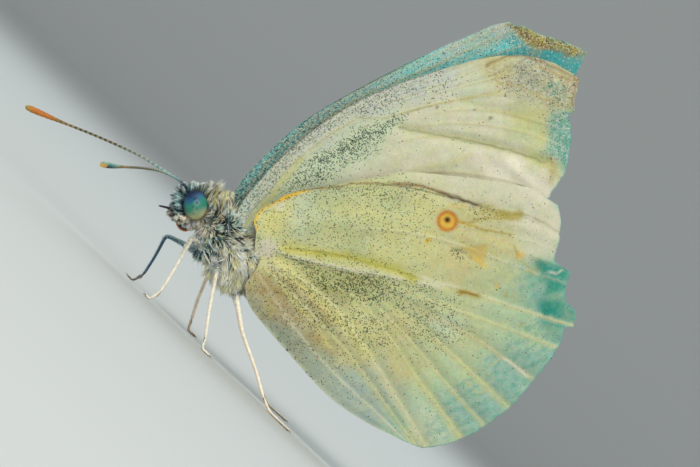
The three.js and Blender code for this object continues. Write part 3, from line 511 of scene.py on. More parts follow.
class Sheet:
    """A wing drawn as rows from hinge to margin and columns along the veins."""

    def __init__(self, drawing, seed):
        margin = joined(drawing["margin"])
        ways = [smooth_line(drawing["front"])]
        ends, hidden = [0.0], [0.0]
        for way, unseen in drawing["veins"]:
            line = smooth_line(way)
            heading = (line[-1] - line[-4]) / np.hypot(*(line[-1] - line[-4]))
            line = np.vstack([line, line[-1] + heading * OVERSHOOT])
            cut, place, share = first_crossing(line[ROOT_STEPS:], margin)
            ways.append(np.vstack([line[: cut + ROOT_STEPS + 1], place]))
            ends.append(share)
            hidden.append(unseen)
        ways.append(smooth_line(drawing["hind"]))
        ends.append(1.0)
        hidden.append(0.0)
        t = np.linspace(0, 1, ROWS + 1)
        lines = [along(way, t) for way in ways]
        columns, shares, near, shown = [], [], [], []
        for k in range(len(lines) - 1):
            spread = (1 - np.cos(np.pi * np.arange(COLUMNS_BETWEEN) / COLUMNS_BETWEEN)) / 2
            width = np.hypot(*(lines[k + 1] - lines[k]).T)
            for f in spread:
                columns.append(lines[k] * (1 - f) + lines[k + 1] * f)
                shares.append(ends[k] * (1 - f) + ends[k + 1] * f)
                near.append(np.minimum(f, 1 - f) * width)
                shown.append(hidden[k] if f < 0.5 else hidden[k + 1])
        columns.append(lines[-1])
        shares.append(1.0)
        near.append(np.zeros(ROWS + 1))
        shown.append(0.0)
        grid = np.stack(columns, axis=1)
        goal = along(margin, shares)
        nicks = 0.035 * waves(*goal.T, seed, 0.9) + 0.02 * waves(*goal.T, seed + 1, 0.3)
        middle = grid[ROWS // 2].mean(axis=0)
        inward = (middle - goal) / np.hypot(*(middle - goal).T)[:, None]
        goal = goal + inward * np.clip(nicks, -0.02, 0.1)[:, None]
        pull = fade(0.72, 1.0, t)[:, None, None]
        grid = grid + pull * (goal - grid[-1])[None]
        self.rows, self.across = grid.shape[:2]
        self.flat = grid.reshape(-1, 2)
        self.t = np.repeat(t, self.across)
        self.near_vein = np.stack(near, axis=1).ravel()
        self.vein_shown = fade(0, 0.12, self.t - np.tile(shown, self.rows) + 0.02)
        edge = np.vstack([grid[:, 0], grid[-1], grid[::-1, -1]])
        worn = joined(drawing["margin"][drawing["worn_from"]:])
        self.near_edge = distance_to(self.flat, along(edge, np.linspace(0, 1, EDGE_PLACES)))
        self.near_worn = distance_to(self.flat, along(worn, np.linspace(0, 1, WORN_PLACES)))
        self.vein = bell(self.near_vein, VEIN_REACH) * self.vein_shown

    def faces(self):
        """Both faces of the sheet, and the thin strips that close its four sides."""
        index = np.arange(self.rows * self.across).reshape(self.rows, self.across)
        far = index + index.size
        return np.vstack([
            faces_between(index[:, :-1], index[:, 1:]), faces_between(far[:, :-1], far[:, 1:])[:, ::-1],
            faces_between(far[:, 0], index[:, 0]), faces_between(index[:, -1], far[:, -1]),
            faces_between(index[0], far[0]), faces_between(far[-1], index[-1]),
        ])


def facing_out(corners, faces):
    """Turn all faces over if the closed shape they make is inside out."""
    a, b, c, d = (corners[faces[:, k]] for k in range(4))
    volume = (np.einsum("ij,ij->i", a, np.cross(b, c)) + np.einsum("ij,ij->i", a, np.cross(c, d))).sum()
    return faces if volume > 0 else faces[:, ::-1]


def wing_corners(sheet, side, out, rise):
    """The corners of a wing's outer face and inner face, with its veins raised on both."""
    x, z = sheet.flat.T
    middle = out(x, z) + rise + 0.02 * waves(x, z, 5, 4.0)
    slim = MEMBRANE * (0.35 + 0.65 * fade(0, 0.5, sheet.near_edge)) / 2
    outer = middle + slim + VEIN_RISE * sheet.vein * (1.3 - 0.8 * sheet.t)
    inner = middle - slim - 0.3 * VEIN_RISE * sheet.vein
    return np.vstack([np.column_stack([x, side * face, z]) for face in (outer, inner)])


print("a wing's sheet has", ROWS + 1, "rows")

# %% [markdown]
# ## Wings: the paint
#
# The colours of a wing are scales, laid like roof tiles. Worn wings lose them, so the ground turns
# patchy and the dark scales stand apart as specks. An image could hold all this, but it would
# be one fixed size. Instead each corner of the sheet is painted the way a painter works: broad
# washes first, then zones, strokes along creases and small spots. The brush wanders a little, so
# that no edge is a perfect curve. How thickly dark scales lie is painted as a number of its own.

# %% A brush for colours and one for dark scales
STROKE_PLACES = 40


def tone(paint_name):
    """A named paint, charted from 0 to 255, as light."""
    value = np.asarray(PAINTS[paint_name], dtype=float) / 255
    return np.where(value < 0.04045, value / 12.92, ((value + 0.055) / 1.055) ** 2.4)


def tones(paint_names):
    return np.array([tone(paint_name) for paint_name in paint_names])


def tinge(tint, mask, colour, strength=1.0):
    """Draw colours towards a named paint, or towards other colours, where the mask is strong."""
    goal = tone(colour) if isinstance(colour, str) else colour
    tint += (mask * strength)[:, None] * (goal - tint)


class Brush:
    """Paint on the corners of a flat sheet. Colours are named in PAINTS."""

    def __init__(self, flat, ground, seed):
        x, z = flat.T
        self.steady = flat + 0.035 * np.column_stack([waves(x, z, seed, 0.8), waves(x, z, seed + 1, 0.8)])
        self.loose = flat + 0.2 * np.column_stack([waves(x, z, seed + 2, 2.4), waves(x, z, seed + 3, 2.4)])
        self.tint = np.tile(tone(ground), (len(flat), 1))
        self.dust = np.zeros(len(flat))
        self.pale = np.zeros(len(flat))

    def blend(self, mask, colour, strength=1.0):
        tinge(self.tint, np.clip(mask, 0, 1), colour, strength)

    def washes(self, washes, reach=2.3):
        """Many soft patches at once, each fading into its neighbours."""
        total, weights = np.zeros_like(self.tint), np.full(len(self.tint), 1e-9)
        for colour, places in washes.items():
            for place in places:
                gap = ((self.loose - place) ** 2).sum(axis=1)
                weight = 1 / (gap / reach**2 + 0.16) ** 2
                total += weight[:, None] * tone(colour)
                weights += weight
        self.tint = total / weights[:, None]

    def stroke(self, way, width, colour, strength=1.0):
        gap = distance_to(self.steady, smooth_way(way, STROKE_PLACES))
        self.blend(bell(gap, width), colour, strength)

    def spot(self, place, size, colour, strength=1.0):
        gap = np.hypot(*(self.steady - place).T)
        self.blend(bell(gap, size, 3), colour, strength)

    def inside(self, outline, soft):
        """One deep inside an outline, zero well outside."""
        ring = np.vstack([outline, outline[:1]])
        x, z = self.loose.T
        odd = np.zeros(len(x), dtype=bool)
        for (xa, za), (xb, zb) in zip(ring[:-1], ring[1:]):
            crosses = (za > z) != (zb > z)
            odd ^= crosses & (x < xa + (z - za) * (xb - xa) / (zb - za if zb != za else 1e-9))
        gap = distance_to(self.loose, ring)
        return fade(-soft, soft, np.where(odd, gap, -gap))

    def zone(self, outline, soft, colour, strength=1.0):
        self.blend(self.inside(outline, soft), colour, strength)

    def mottle(self, mask, colour, strength, size, seed):
        """Irregular patches of a colour, about as wide as size."""
        x, z = self.steady.T
        patchy = fade(-0.2, 0.9, waves(x, z, seed, size) + 0.7 * waves(x, z, seed + 1, size * 0.4))
        self.blend(mask * patchy, colour, strength)

    def sprinkle(self, mask, amount, pale=0.0):
        """Lay dark scales, and pale ones, at least as thickly as this."""
        self.dust = np.maximum(self.dust, np.clip(mask, 0, 1) * amount)
        self.pale = np.maximum(self.pale, np.clip(mask, 0, 1) * pale)


PAINTS = dict(
    cream=(206, 202, 172), white=(213, 206, 184), straw=(199, 196, 134), yellow=(208, 201, 126),
    gold=(224, 180, 50), sand=(194, 184, 128), olive=(160, 158, 54), sage=(178, 184, 136),
    mint=(168, 188, 148), pale_mint=(190, 200, 168), teal=(88, 152, 130), sea=(134, 176, 158),
    mist=(152, 168, 156), beige=(160, 138, 86), brown=(132, 100, 58), dark=(66, 56, 40),
    orange=(198, 128, 52), grey=(160, 168, 148), smoke=(112, 122, 92), rust=(168, 104, 48),
    rim=(92, 176, 168), lavender=(186, 192, 180), cyan=(44, 158, 160), deep_teal=(96, 182, 178),
    navy=(38, 66, 92), steel=(116, 166, 160), moss_green=(112, 126, 50), ochre=(178, 164, 104),
    ash=(166, 176, 166), copper=(186, 108, 26), tan=(142, 104, 26), bronze=(166, 150, 66),
    lagoon=(112, 200, 194), citron=(190, 184, 84), pearl=(230, 224, 200), bay=(44, 142, 122),
    umber=(52, 26, 8),
)
print("paints:", len(PAINTS))

# %% Paint the underside of the hindwing
EDGE_LINE = [(0.58, 2.29), (0.16, 2.60), (-0.03, 3.04), (-0.04, 3.52), (0.06, 3.98), (0.30, 4.57), (0.7, 5.4),
             (1.2, 6.4), (2.2, 7.5), (3.4, 9), (5.1, 10.5), (6.3, 11.5), (7.5, 12.1), (8.7, 12.6),
             (9.8, 13.1), (10.6, 13.5)]
OLIVE_BAND = [(2.7, 2.7), (4.4, 3.9), (6.1, 5.1), (7.8, 6), (9, 6.6), (10.1, 6.9)]
PALE_BAND = [(2.7, 2.3), (3.7, 2.8), (6.3, 4.3), (8.1, 5.5), (9.9, 6.6), (11.8, 7.7), (13.6, 8.7),
             (15.6, 9.7), (17.9, 10.8), (19.5, 11.6)]
DUSTY_BAND = [(3, 2.3), (6.5, 4.3), (9.5, 6.2), (11.6, 7.5), (11.7, 6.7), (10.2, 5.1), (8.6, 3.4), (6.8, 2.5),
              (5, 2.2)]
EYESPOT, PUPIL = (9.14, 11.06), (9.09, 11.12)


def paint_hindwing(sheet, marked=True):
    """The underside: yellowish, dusted with dark scales and worn towards the margin, where mint and teal are
    painted light shining through the thin wing.
    """
    brush = Brush(sheet.flat, "straw", 211)
    stroke, spot, zone, mottle = brush.stroke, brush.spot, brush.zone, brush.mottle
    sprinkle, inside, blend = brush.sprinkle, brush.inside, brush.blend
    brush.washes(dict(
        yellow=[(1.3, 3.7), (1.3, 2.9), (3.4, 3.4)],
        cream=[(13, 15.2), (11.5, 15.4), (13.4, 16), (14.5, 14), (10.1, 15), (7.6, 13.9), (6.1, 12.7)],
        white=[(14.3, 15.2), (12.1, 15.7)],
        straw=[(4.5, 5.5), (4.8, 8), (7.5, 8.4), (9.4, 9.2), (9.6, 2.4), (6.9, 8.6), (3.9, 6.7), (7.5, 7),
               (7.4, 10.9)],
        sand=[(12.5, 12.5), (11.5, 11.6), (10.8, 9.6), (9.8, 0.8), (11.7, 3.9), (13.2, 2.3), (11.9, 9.3)],
        sage=[(2.9, 6.8), (3.2, 4.6), (4.5, 6.4), (5.8, 9.3), (13.5, 9.5), (14.3, 11.4), (12.5, 6.8),
              (9.7, 4.7), (13.5, 4.7), (15.4, 6.5), (5.6, 5.7), (14, 3.4), (13, 7.7)],
        # Painted light: the mint, teal and sea towards the outer margin stand for light shining through the
        # thin, worn wing.
        mint=[(15.3, 9.4), (17.1, 9.4), (16.8, 7.4), (15.5, 2.6), (16.4, 4.6), (18.2, 9.6)],
        pale_mint=[(13.6, 6.1), (17, 1), (17.2, -0.3), (1.8, 5.2), (2.6, 4.3), (1.6, 2.3)],
        teal=[(16.3, 13.3), (16.4, 12.5), (17.9, 11.3), (18.9, 11.7), (19, 10.7)],
        sea=[(18.6, 6.4), (18.4, 7.5), (18.4, 3.3), (17.2, 2.3), (16.5, 11.4), (19.8, 9.7), (15.9, -0.6)],
        mist=[(9, -0.9), (11.7, -1.2), (14.2, -1.2), (6.8, -1.1), (13.4, 0.2)],
        # Painted shade: the beige and ochre by the inner margin stand for the abdomen darkening the thin wing
        # from behind.
        beige=[(5.6, 0.1), (3.5, 0.2), (7.6, 0.1), (4.6, 0.7), (2.5, 0.8), (3.1, -0.8)],
        ochre=[(6.5, 0.1), (4.3, -0.4), (2.7, 0.8), (8.6, 0.2)],
        grey=[(3.9, -1.2), (5.4, -1.5)],
    ))
    # Painted shade: the brown mottle here and the beige zone below stand for the abdomen darkening the thin
    # wing from behind.
    mottle(inside([(2.3, 1.1), (4.4, 1.4), (8.4, 0.8), (11, -0.5), (7.7, -1.2), (4.4, -1.2)], 0.6), "brown",
           0.35, 0.7, 71)
    mottle(inside([(2.3, 1.1), (4.4, 1.4), (8.4, 0.8), (7.2, -0.7), (3.6, -1)], 0.6), "white", 0.3, 0.5, 73)
    zone([(2.2, 0.6), (4.3, 1), (5.9, 0), (4, -0.8)], 0.5, "beige", 0.75)
    everywhere = np.ones(len(sheet.flat))
    mottle(everywhere, "yellow", 0.1, 1.6, 75)
    mottle(everywhere, "pale_mint", 0.2, 1.9, 77)
    zone(DUSTY_BAND[:2] + [(8.6, 5.6), (8.2, 3.4), *DUSTY_BAND[7:]], 0.7, "moss_green", 0.62)
    # Painted light: the sea zone, the teal and mist mottle and the teal patches below stand for light shining
    # through the worn margin.
    zone([(18.1, 7.9), (17.2, 6.2), (18, 5.5), (18.3, 4.4), (18.9, 2.7), (19.9, 4.5), (20, 7.2), (19.1, 9.1)],
         0.25, "sea", 0.5)
    outer = inside([(13.7, 11.7), (15.3, 13.2), (18.2, 13.4), (20.4, 11.5), (20, 8.1), (20.3, 4.1),
                    (17.9, -0.9), (16.2, 1.9), (17.3, 7.3), (16.5, 11)], 0.5)
    mottle(outer, "teal", 0.55, 0.6, 81)
    mottle(outer, "mist", 0.45, 0.45, 83)
    for patch in ([(15.3, 13.3), (16.8, 14.1), (17.5, 12.9), (16.8, 12)],
                  [(17, 11.4), (18.3, 12.4), (18.9, 11), (18, 10.4)]):
        zone(patch, 0.4, "bay", 1.0)
        mottle(inside(patch, 0.3), "sea", 0.22, 0.4, 79)
    blend(sheet.vein, "cream", 0.3)
    # Painted shade: a soft smoky stroke beside each of these veins stands for the shade of the pleat next to
    # it.
    for way, _ in HINDWING_VEINS[5:11]:
        stroke(np.array(way[1:]) + [0.12, 0.22], 0.24, "smoke", 0.26)
    for index, width, colour, strength in [
        (3, 0.16, "cream", 0.45), (4, 0.18, "straw", 0.5), (5, 0.17, "sand", 0.45), (6, 0.24, "straw", 0.6),
        (7, 0.17, "straw", 0.5), (8, 0.28, "straw", 0.65), (9, 0.34, "straw", 0.5), (9, 0.2, "cream", 0.5),
        (10, 0.22, "straw", 0.5), (11, 0.14, "cream", 0.4),
    ]:
        stroke(HINDWING_VEINS[index][0], width, colour, strength)
    stroke(PALE_BAND[:6], 0.16, "cream", 0.75)
    stroke(PALE_BAND[5:], 0.12, "straw", 0.5)
    stroke(OLIVE_BAND, 0.34, "citron", 0.8)
    stroke(OLIVE_BAND[1:], 0.16, "olive", 0.5)
    stroke([(3.2, 1.8), (5.1, 1.8), (7.4, 1.9), (9.5, 1.7), (11.4, 1.4)], 0.34, "yellow", 0.65)
    stroke([(4.4, 0.8), (6, 0.6), (7.4, 0.5), (9.2, 0)], 0.14, "yellow", 0.5)
    stroke([(2.4, 2.1), (3.7, 2.6), (4.9, 3)], 0.06, "smoke", 0.6)
    stroke([(17.6, 7), (17.5, 6.1), (18.1, 5.4), (18.1, 4.4), (17, 4.4)], 0.06, "sand", 0.6)
    stroke([(17.8, 7.1), (18.7, 7.2), (19.7, 7.3)], 0.08, "white", 0.8)
    stroke([(16, 13), (16.5, 13.4), (16.7, 13.8)], 0.06, "white", 0.7)
    stroke([(1.3, 2.6), (1, 3.6), (1.1, 4.7)], 0.5, "yellow", 0.5)
    spot((0.7, 4.5), 0.35, "white", 0.7)
    stroke(EDGE_LINE[:8], 0.14, "gold", 1.0)
    stroke(EDGE_LINE[1:6], 0.07, "yellow", 0.35)
    # The edge line turns brown towards its end. Its darkest stretch is the edge's own brown together with
    # painted shadow under the curled edge.
    stroke(EDGE_LINE[7:13], 0.08, "brown", 0.55)
    stroke(EDGE_LINE[10:], 0.13, "brown", 0.6)
    stroke(EDGE_LINE[12:], 0.08, "dark", 0.8)
    for place in along(smooth_line(EDGE_LINE), np.linspace(0.3, 0.85, 30)):
        spot(place, 0.07, "brown", 0.6)
    spot((1.9, 1.9), 0.6, "white", 0.9)
    finger = [(8.4, 12.2), (10.6, 13.5), (11.8, 14.6), (12.3, 14.7), (12.4, 14.4), (11.4, 13.4), (10.5, 12.5),
              (9.5, 11.5)]
    zone(finger, 0.12, "sand", 0.6)
    stroke([(10.3, 12.9), (11.3, 13.7)], 0.2, "bronze", 0.4)
    stroke([(11.3, 13.7), (11.8, 14.1), (12.2, 14.5)], 0.27, "bronze", 0.9)
    mottle(inside(finger, 0.1), "olive", 0.4, 0.25, 87)
    stroke([(9.6, 11.5), (10.2, 11.9), (10.6, 12.6), (11.5, 13.5), (12.3, 14.2)], 0.08, "bronze", 0.8)
    stroke([(9.6, 11.5), (10.1, 11.7), (10.7, 12)], 0.12, "gold", 0.5)
    stroke([(9.7, 11.5), (10.5, 11.9), (11.6, 12.5), (12.7, 13.2)], 0.08, "bronze", 0.8)
    stroke([(8.1, 10.8), (8.5, 11.6), (9.3, 12.6)], 0.07, "gold", 0.4)
    for place in ((10, 11.7), (10.8, 12), (11.4, 12.3), (12.1, 12.9), (12.7, 13.1)):
        spot(place, 0.07, "brown", 0.75)
    stroke([(12.3, 14.7), (13.5, 15.1), (14.8, 15.4)], 0.05, "brown", 0.5)
    reach = 1 - fade(5.0, 15.0, np.hypot(*(brush.loose - [2.0, 1.0]).T))
    sprinkle(reach, 0.18)
    sprinkle(inside(DUSTY_BAND, 0.6) * (1 - 0.4 * fade(7.5, 11, brush.loose[:, 0])), 0.62)
    sprinkle(inside([(2.6, 1.4), (4.5, 2.2), (8.3, 2.9), (11.7, 3.9), (12.1, 2.5), (9.5, 0.6), (6.6, 0),
                     (4.1, 0.3)], 0.6), 0.4)
    sprinkle(inside([(9.5, 4.4), (12.3, 8), (15, 7), (14.5, 4.7), (11.9, 3.7)], 0.7), 0.3)
    sprinkle(inside([(1.1, 5.9), (3.1, 8.4), (7.5, 12.1), (9, 9.7), (6.2, 6), (3.3, 3.5)], 0.8), 0.2)
    sprinkle(inside([(0.9, 6.1), (3, 8.5), (6.9, 11.9), (7.2, 11.1), (3.7, 7.8)], 0.4), 0.4)
    sprinkle(inside([(8.6, 12.4), (11.5, 14), (11.7, 13.3), (10, 12.3)], 0.3), 0.22)
    sprinkle(everywhere, 0.02)
    if marked:
        ring = np.hypot(*(sheet.flat - EYESPOT).T)
        blend(bell(ring, 0.62, 8), "gold", 0.95)
        blend(bell(ring, 0.62, 8), "orange", 0.25)
        blend(bell(ring - 0.3, 0.14), "yellow", 0.15)
        blend(bell(ring - 0.58, 0.12), "copper", 0.95)
        brush.dust *= 1 - bell(ring, 0.8, 8)
        pupil = np.hypot(*(sheet.flat - PUPIL).T)
        blend(bell(pupil, 0.2, 4), "umber", 1.0)
        spot((9.1, 9.3), 0.16, "gold", 0.8)
        spot((9.1, 9.3), 0.09, "tan", 0.7)
        zone([(10.6, 10.3), (12, 11.6), (12.6, 11.1), (12.7, 10.3)], 0.1, "ochre", 0.8)
        zone([(10.8, 10.5), (12.1, 11.5), (12.7, 10.7)], 0.1, "gold", 0.28)
        stroke([(11.8, 10.5), (12.3, 10.6), (12.9, 10.6)], 0.14, "gold", 0.6)
        stroke([(10.5, 10), (11.3, 10.3), (12.2, 10.4)], 0.05, "smoke", 0.6)
        sprinkle(inside([(10.4, 9.7), (11, 10.4), (11.6, 9.9), (11.1, 9.3)], 0.2), 0.5)
        spot((14, 12.6), 0.3, "gold", 0.6)
        stroke([(13.4, 12.8), (13.6, 12.7), (13.9, 12.5)], 0.09, "tan", 0.45)
        stroke([(14.5, 12.5), (14.9, 12.4), (15.3, 12.3)], 0.07, "bronze", 0.6)
        stroke([(12.8, 8.3), (13.2, 8.6), (13.8, 8.9)], 0.2, "bronze", 0.95)
        stroke([(12.8, 8.3), (13.3, 8.6), (13.7, 8.9)], 0.08, "tan", 0.7)
        spot((14.3, 10.2), 0.18, "gold", 0.5)
        spot((14.3, 10.1), 0.08, "tan", 0.5)
        spot((15.1, 10.2), 0.11, "bronze", 0.9)
        spot((15.6, 10.5), 0.35, "gold", 0.16)
        spot((17.1, 9.4), 0.11, "olive", 0.7)
        spot((15.4, 12.5), 0.35, "ochre", 0.4)
    # Painted light: the teal rim along the worn margin stands for light shining through its thin edge.
    blend(1 - fade(0.02, 0.13, sheet.near_worn), "rim", 0.5)
    return brush

# %% Paint the underside of the forewing
FRONT_BAND_END = (13.5, 18.5)
LONG_CREASE = [(2.9, 13.4), (4.5, 14.4), (6.7, 15.8), (8.4, 16.8), (9.6, 17.4), (11.2, 18.1)]
INNER_CREASE = [(4.4, 9.1), (4.9, 10.7), (5.6, 12.3), (6.7, 13.9), (7.3, 15.2)]
TIP_CREASE = [(9.2, 16.5), (10.6, 16.4), (12.8, 16.5)]
LEFT_FRONT, RIGHT_FRONT = smooth_line(FOREWING_LEFT["front"]), smooth_line(FOREWING_RIGHT["front"])


def paint_forewing(sheet, marked=True):
    """The underside: white and cream, its front half dusted grey, its tip mottled brown."""
    brush = Brush(sheet.flat, "cream", 307)
    stroke, spot, zone, mottle = brush.stroke, brush.spot, brush.zone, brush.mottle
    sprinkle, inside, blend = brush.sprinkle, brush.inside, brush.blend
    brush.washes(dict(
        sage=[(-0.2, 3.7), (-0.1, 6.2), (8.7, 18.8), (-0.2, 4.9)],
        pale_mint=[(0.7, 7.7), (1, 10.2), (1.8, 12.2), (4.6, 18.1), (2.5, 9.1), (0.7, 6.3)],
        lavender=[(-0.4, 2.7), (-0.9, 4.4), (-1.1, 6.8), (-0.9, 9.9), (0.2, 13.5), (1.6, 16.2), (2.7, 17.8),
                  (0, 1.9)],
        cream=[(3.8, 12.3), (6.4, 13.4), (4.9, 11.2), (6.5, 16.1), (4.5, 16.3), (8.7, 14.7), (3.3, 9.2),
               (3.5, 14.6), (6, 18.9), (4.8, 14.1), (7.2, 18.1), (4.2, 18.1)],
        white=[(10.1, 16.9), (11.8, 16.5), (10.7, 14.8), (12.6, 16.6), (8.7, 15.6), (8.6, 12.9)],
        straw=[(9.8, 19.6), (8.5, 19.5), (11.2, 18.3)],
        sand=[(5.1, 20.4), (9, 20.5), (8.3, 22.6)],
        grey=[(6.9, 20.9), (8.7, 21.7), (6.7, 22)],
        # Painted light: the mint and sea by the worn tip stand for light shining through it.
        mint=[(10.6, 19.9), (9.8, 20.6)],
        sea=[(10.9, 20.3), (11.7, 19.2)],
    ), 1.9)
    apex = inside([(4.3, 20.1), (5.6, 22.2), (9, 23.7), (10.4, 21.8), (8.7, 20.7), (6.2, 19.6)], 0.5)
    mottle(apex, "cream", 0.4, 0.4, 95)
    mottle(apex, "brown", 0.4, 0.22, 91)
    mottle(apex, "smoke", 0.5, 0.3, 93)
    everywhere = np.ones(len(sheet.flat))
    mottle(everywhere, "straw", 0.2, 1.7, 97)
    mottle(everywhere, "pale_mint", 0.22, 2.1, 99)
    blend(sheet.vein, "sand", 0.4)
    radial = [(-0.1, 2), (-0.2, 3.7), (-0.3, 5.5), (-0.4, 7.5), (-0.1, 9.9), (0.5, 12)]
    stroke([(0.5, 12), (1.9, 13.4), (3.3, 15.7), (5.2, 18.4), (6, 19.4)], 0.07, "ochre", 0.6)
    # Painted shade: olive and smoke darken the long crease. The fold above it is also drawn a little darker
    # in olive.
    stroke(LONG_CREASE, 0.28, "olive", 0.3)
    stroke(LONG_CREASE, 0.06, "smoke", 0.55)
    stroke([(4.7, 17.5), (6.2, 18.2), (8.1, 19.1), (10.1, 19.5)], 0.25, "olive", 0.22)
    stroke(INNER_CREASE, 0.2, "straw", 0.5)
    stroke([(4.9, 10.7), (6.7, 12.1), (8.9, 13.5), (11, 15)], 0.12, "olive", 0.25)
    stroke(TIP_CREASE, 0.25, "white", 0.7)
    zone([(8.5, 15.3), (9.7, 16.8), (13.2, 16.2), (10.6, 14.1)], 0.6, "pearl", 0.9)
    zone([(2.5, 8.6), (3.3, 10.3), (5.6, 12.4), (7.2, 12.5), (5.3, 10.3)], 0.6, "pearl", 0.4)
    stroke([(11.2, 18.5), (11.8, 18.2), (12.2, 17.5)], 0.25, "ochre", 0.7)
    # Painted light: teal, cyan and lavender on the worn tip stand for light shining through the thin wing.
    worn = inside([(9.3, 20.9), (10.6, 22), (12.3, 19.8), (12.3, 18.5), (10.9, 18.9)], 0.6)
    blend(worn, "teal", 0.8)
    mottle(worn, "cyan", 0.4, 0.3, 103)
    mottle(worn, "lavender", 0.7, 0.4, 105)
    edge = [(4.2, 20.1), (4.7, 21.3), (5.6, 22.2), (7.1, 22.8), (8, 23.1), (9.1, 23.4)]
    stroke(edge, 0.12, "brown", 0.6)
    stroke([(9, 23.3), (9.5, 22.5), (10.1, 21.7)], 0.12, "brown", 0.65)
    stroke([(5.6, 19.8), (6.7, 20.5), (8.7, 21.2), (10.1, 21.6)], 0.07, "ochre", 0.8)
    stroke([(6.8, 22.3), (8.1, 22.8), (9.1, 23.1)], 0.08, "beige", 0.8)
    # Painted light: a teal patch near the apex, standing for light shining through it.
    mottle(inside([(7.8, 21.7), (8.5, 22.5), (9.3, 22), (8.8, 21.1)], 0.2), "teal", 0.8, 0.4, 101)
    blend(1 - fade(0.0, 0.12, distance_to(sheet.flat, LEFT_FRONT)), "brown", 0.6)
    patch = [(-0.3, 4.5), (-0.5, 6.6), (0.2, 9.6), (1.1, 12), (1.9, 13.9), (2.8, 13.9), (2.7, 12.4),
             (2.4, 10.3), (2.1, 9), (1.5, 7.2), (0.4, 5.7)]
    sprinkle(inside([(-0.2, 7.3), (0.4, 9.4), (1.3, 11.7), (2.1, 13.4), (2.5, 12.4), (1.9, 10.1), (0.6, 7.4)],
                    0.5), 0.7)
    zone(patch, 0.5, "pale_mint", 0.75)
    sprinkle(inside(patch, 0.5), 0.52)
    sprinkle(inside([(0.1, 5.5), (0.6, 9.3), (2.2, 13.6), (3.2, 13.5), (2.4, 10.1), (1.5, 7.7)], 0.6), 0.2)
    front = distance_to(brush.steady, LEFT_FRONT)
    band = (1 - fade(0.9, 1.5, front)) * (1 - fade(*FRONT_BAND_END, brush.loose[:, 1]))
    mottle(band, "mist", 0.75, 0.3, 107)
    mottle(band, "lavender", 0.6, 0.35, 109)
    mottle(band * (1 - fade(2.5, 6, brush.loose[:, 1])), "steel", 0.8, 0.3, 121)
    sprinkle(band, 0.42, 0.3)
    sprinkle((1 - fade(0.3, 2.6, front)) * (1 - fade(16, 21, brush.loose[:, 1])), 0.25, 0.2)
    sprinkle(inside([(4.4, 20.2), (5.9, 22.3), (9.1, 23.4), (10.3, 21.7), (8.4, 20.6), (6, 19.4)], 0.5), 0.17,
             0.24)
    sprinkle(inside([(8.4, 20.1), (10.3, 21.9), (12.2, 19.3), (11.4, 18.1)], 0.5), 0.12, 0.12)
    sprinkle(1 - fade(2, 17, np.hypot(*brush.loose.T)), 0.05)
    sprinkle(everywhere, 0.01)
    stroke(radial[:4], 0.22, "citron", 0.6)
    stroke(radial[3:], 0.18, "citron", 0.3)
    brush.dust *= 1 - 0.9 * bell(distance_to(brush.steady, smooth_line(radial)), 0.28)
    if marked:
        for place, size in [((3.7, 15.9), 0.11), ((5.6, 17.5), 0.07), ((6.7, 17.8), 0.1),
                            ((6.8, 15.1), 0.07)]:
            spot(place, size, "dark", 0.75)
    # Painted light: the teal rim along the worn margin stands for light shining through its thin edge.
    blend(1 - fade(0.02, 0.13, sheet.near_worn), "rim", 0.6)
    return brush

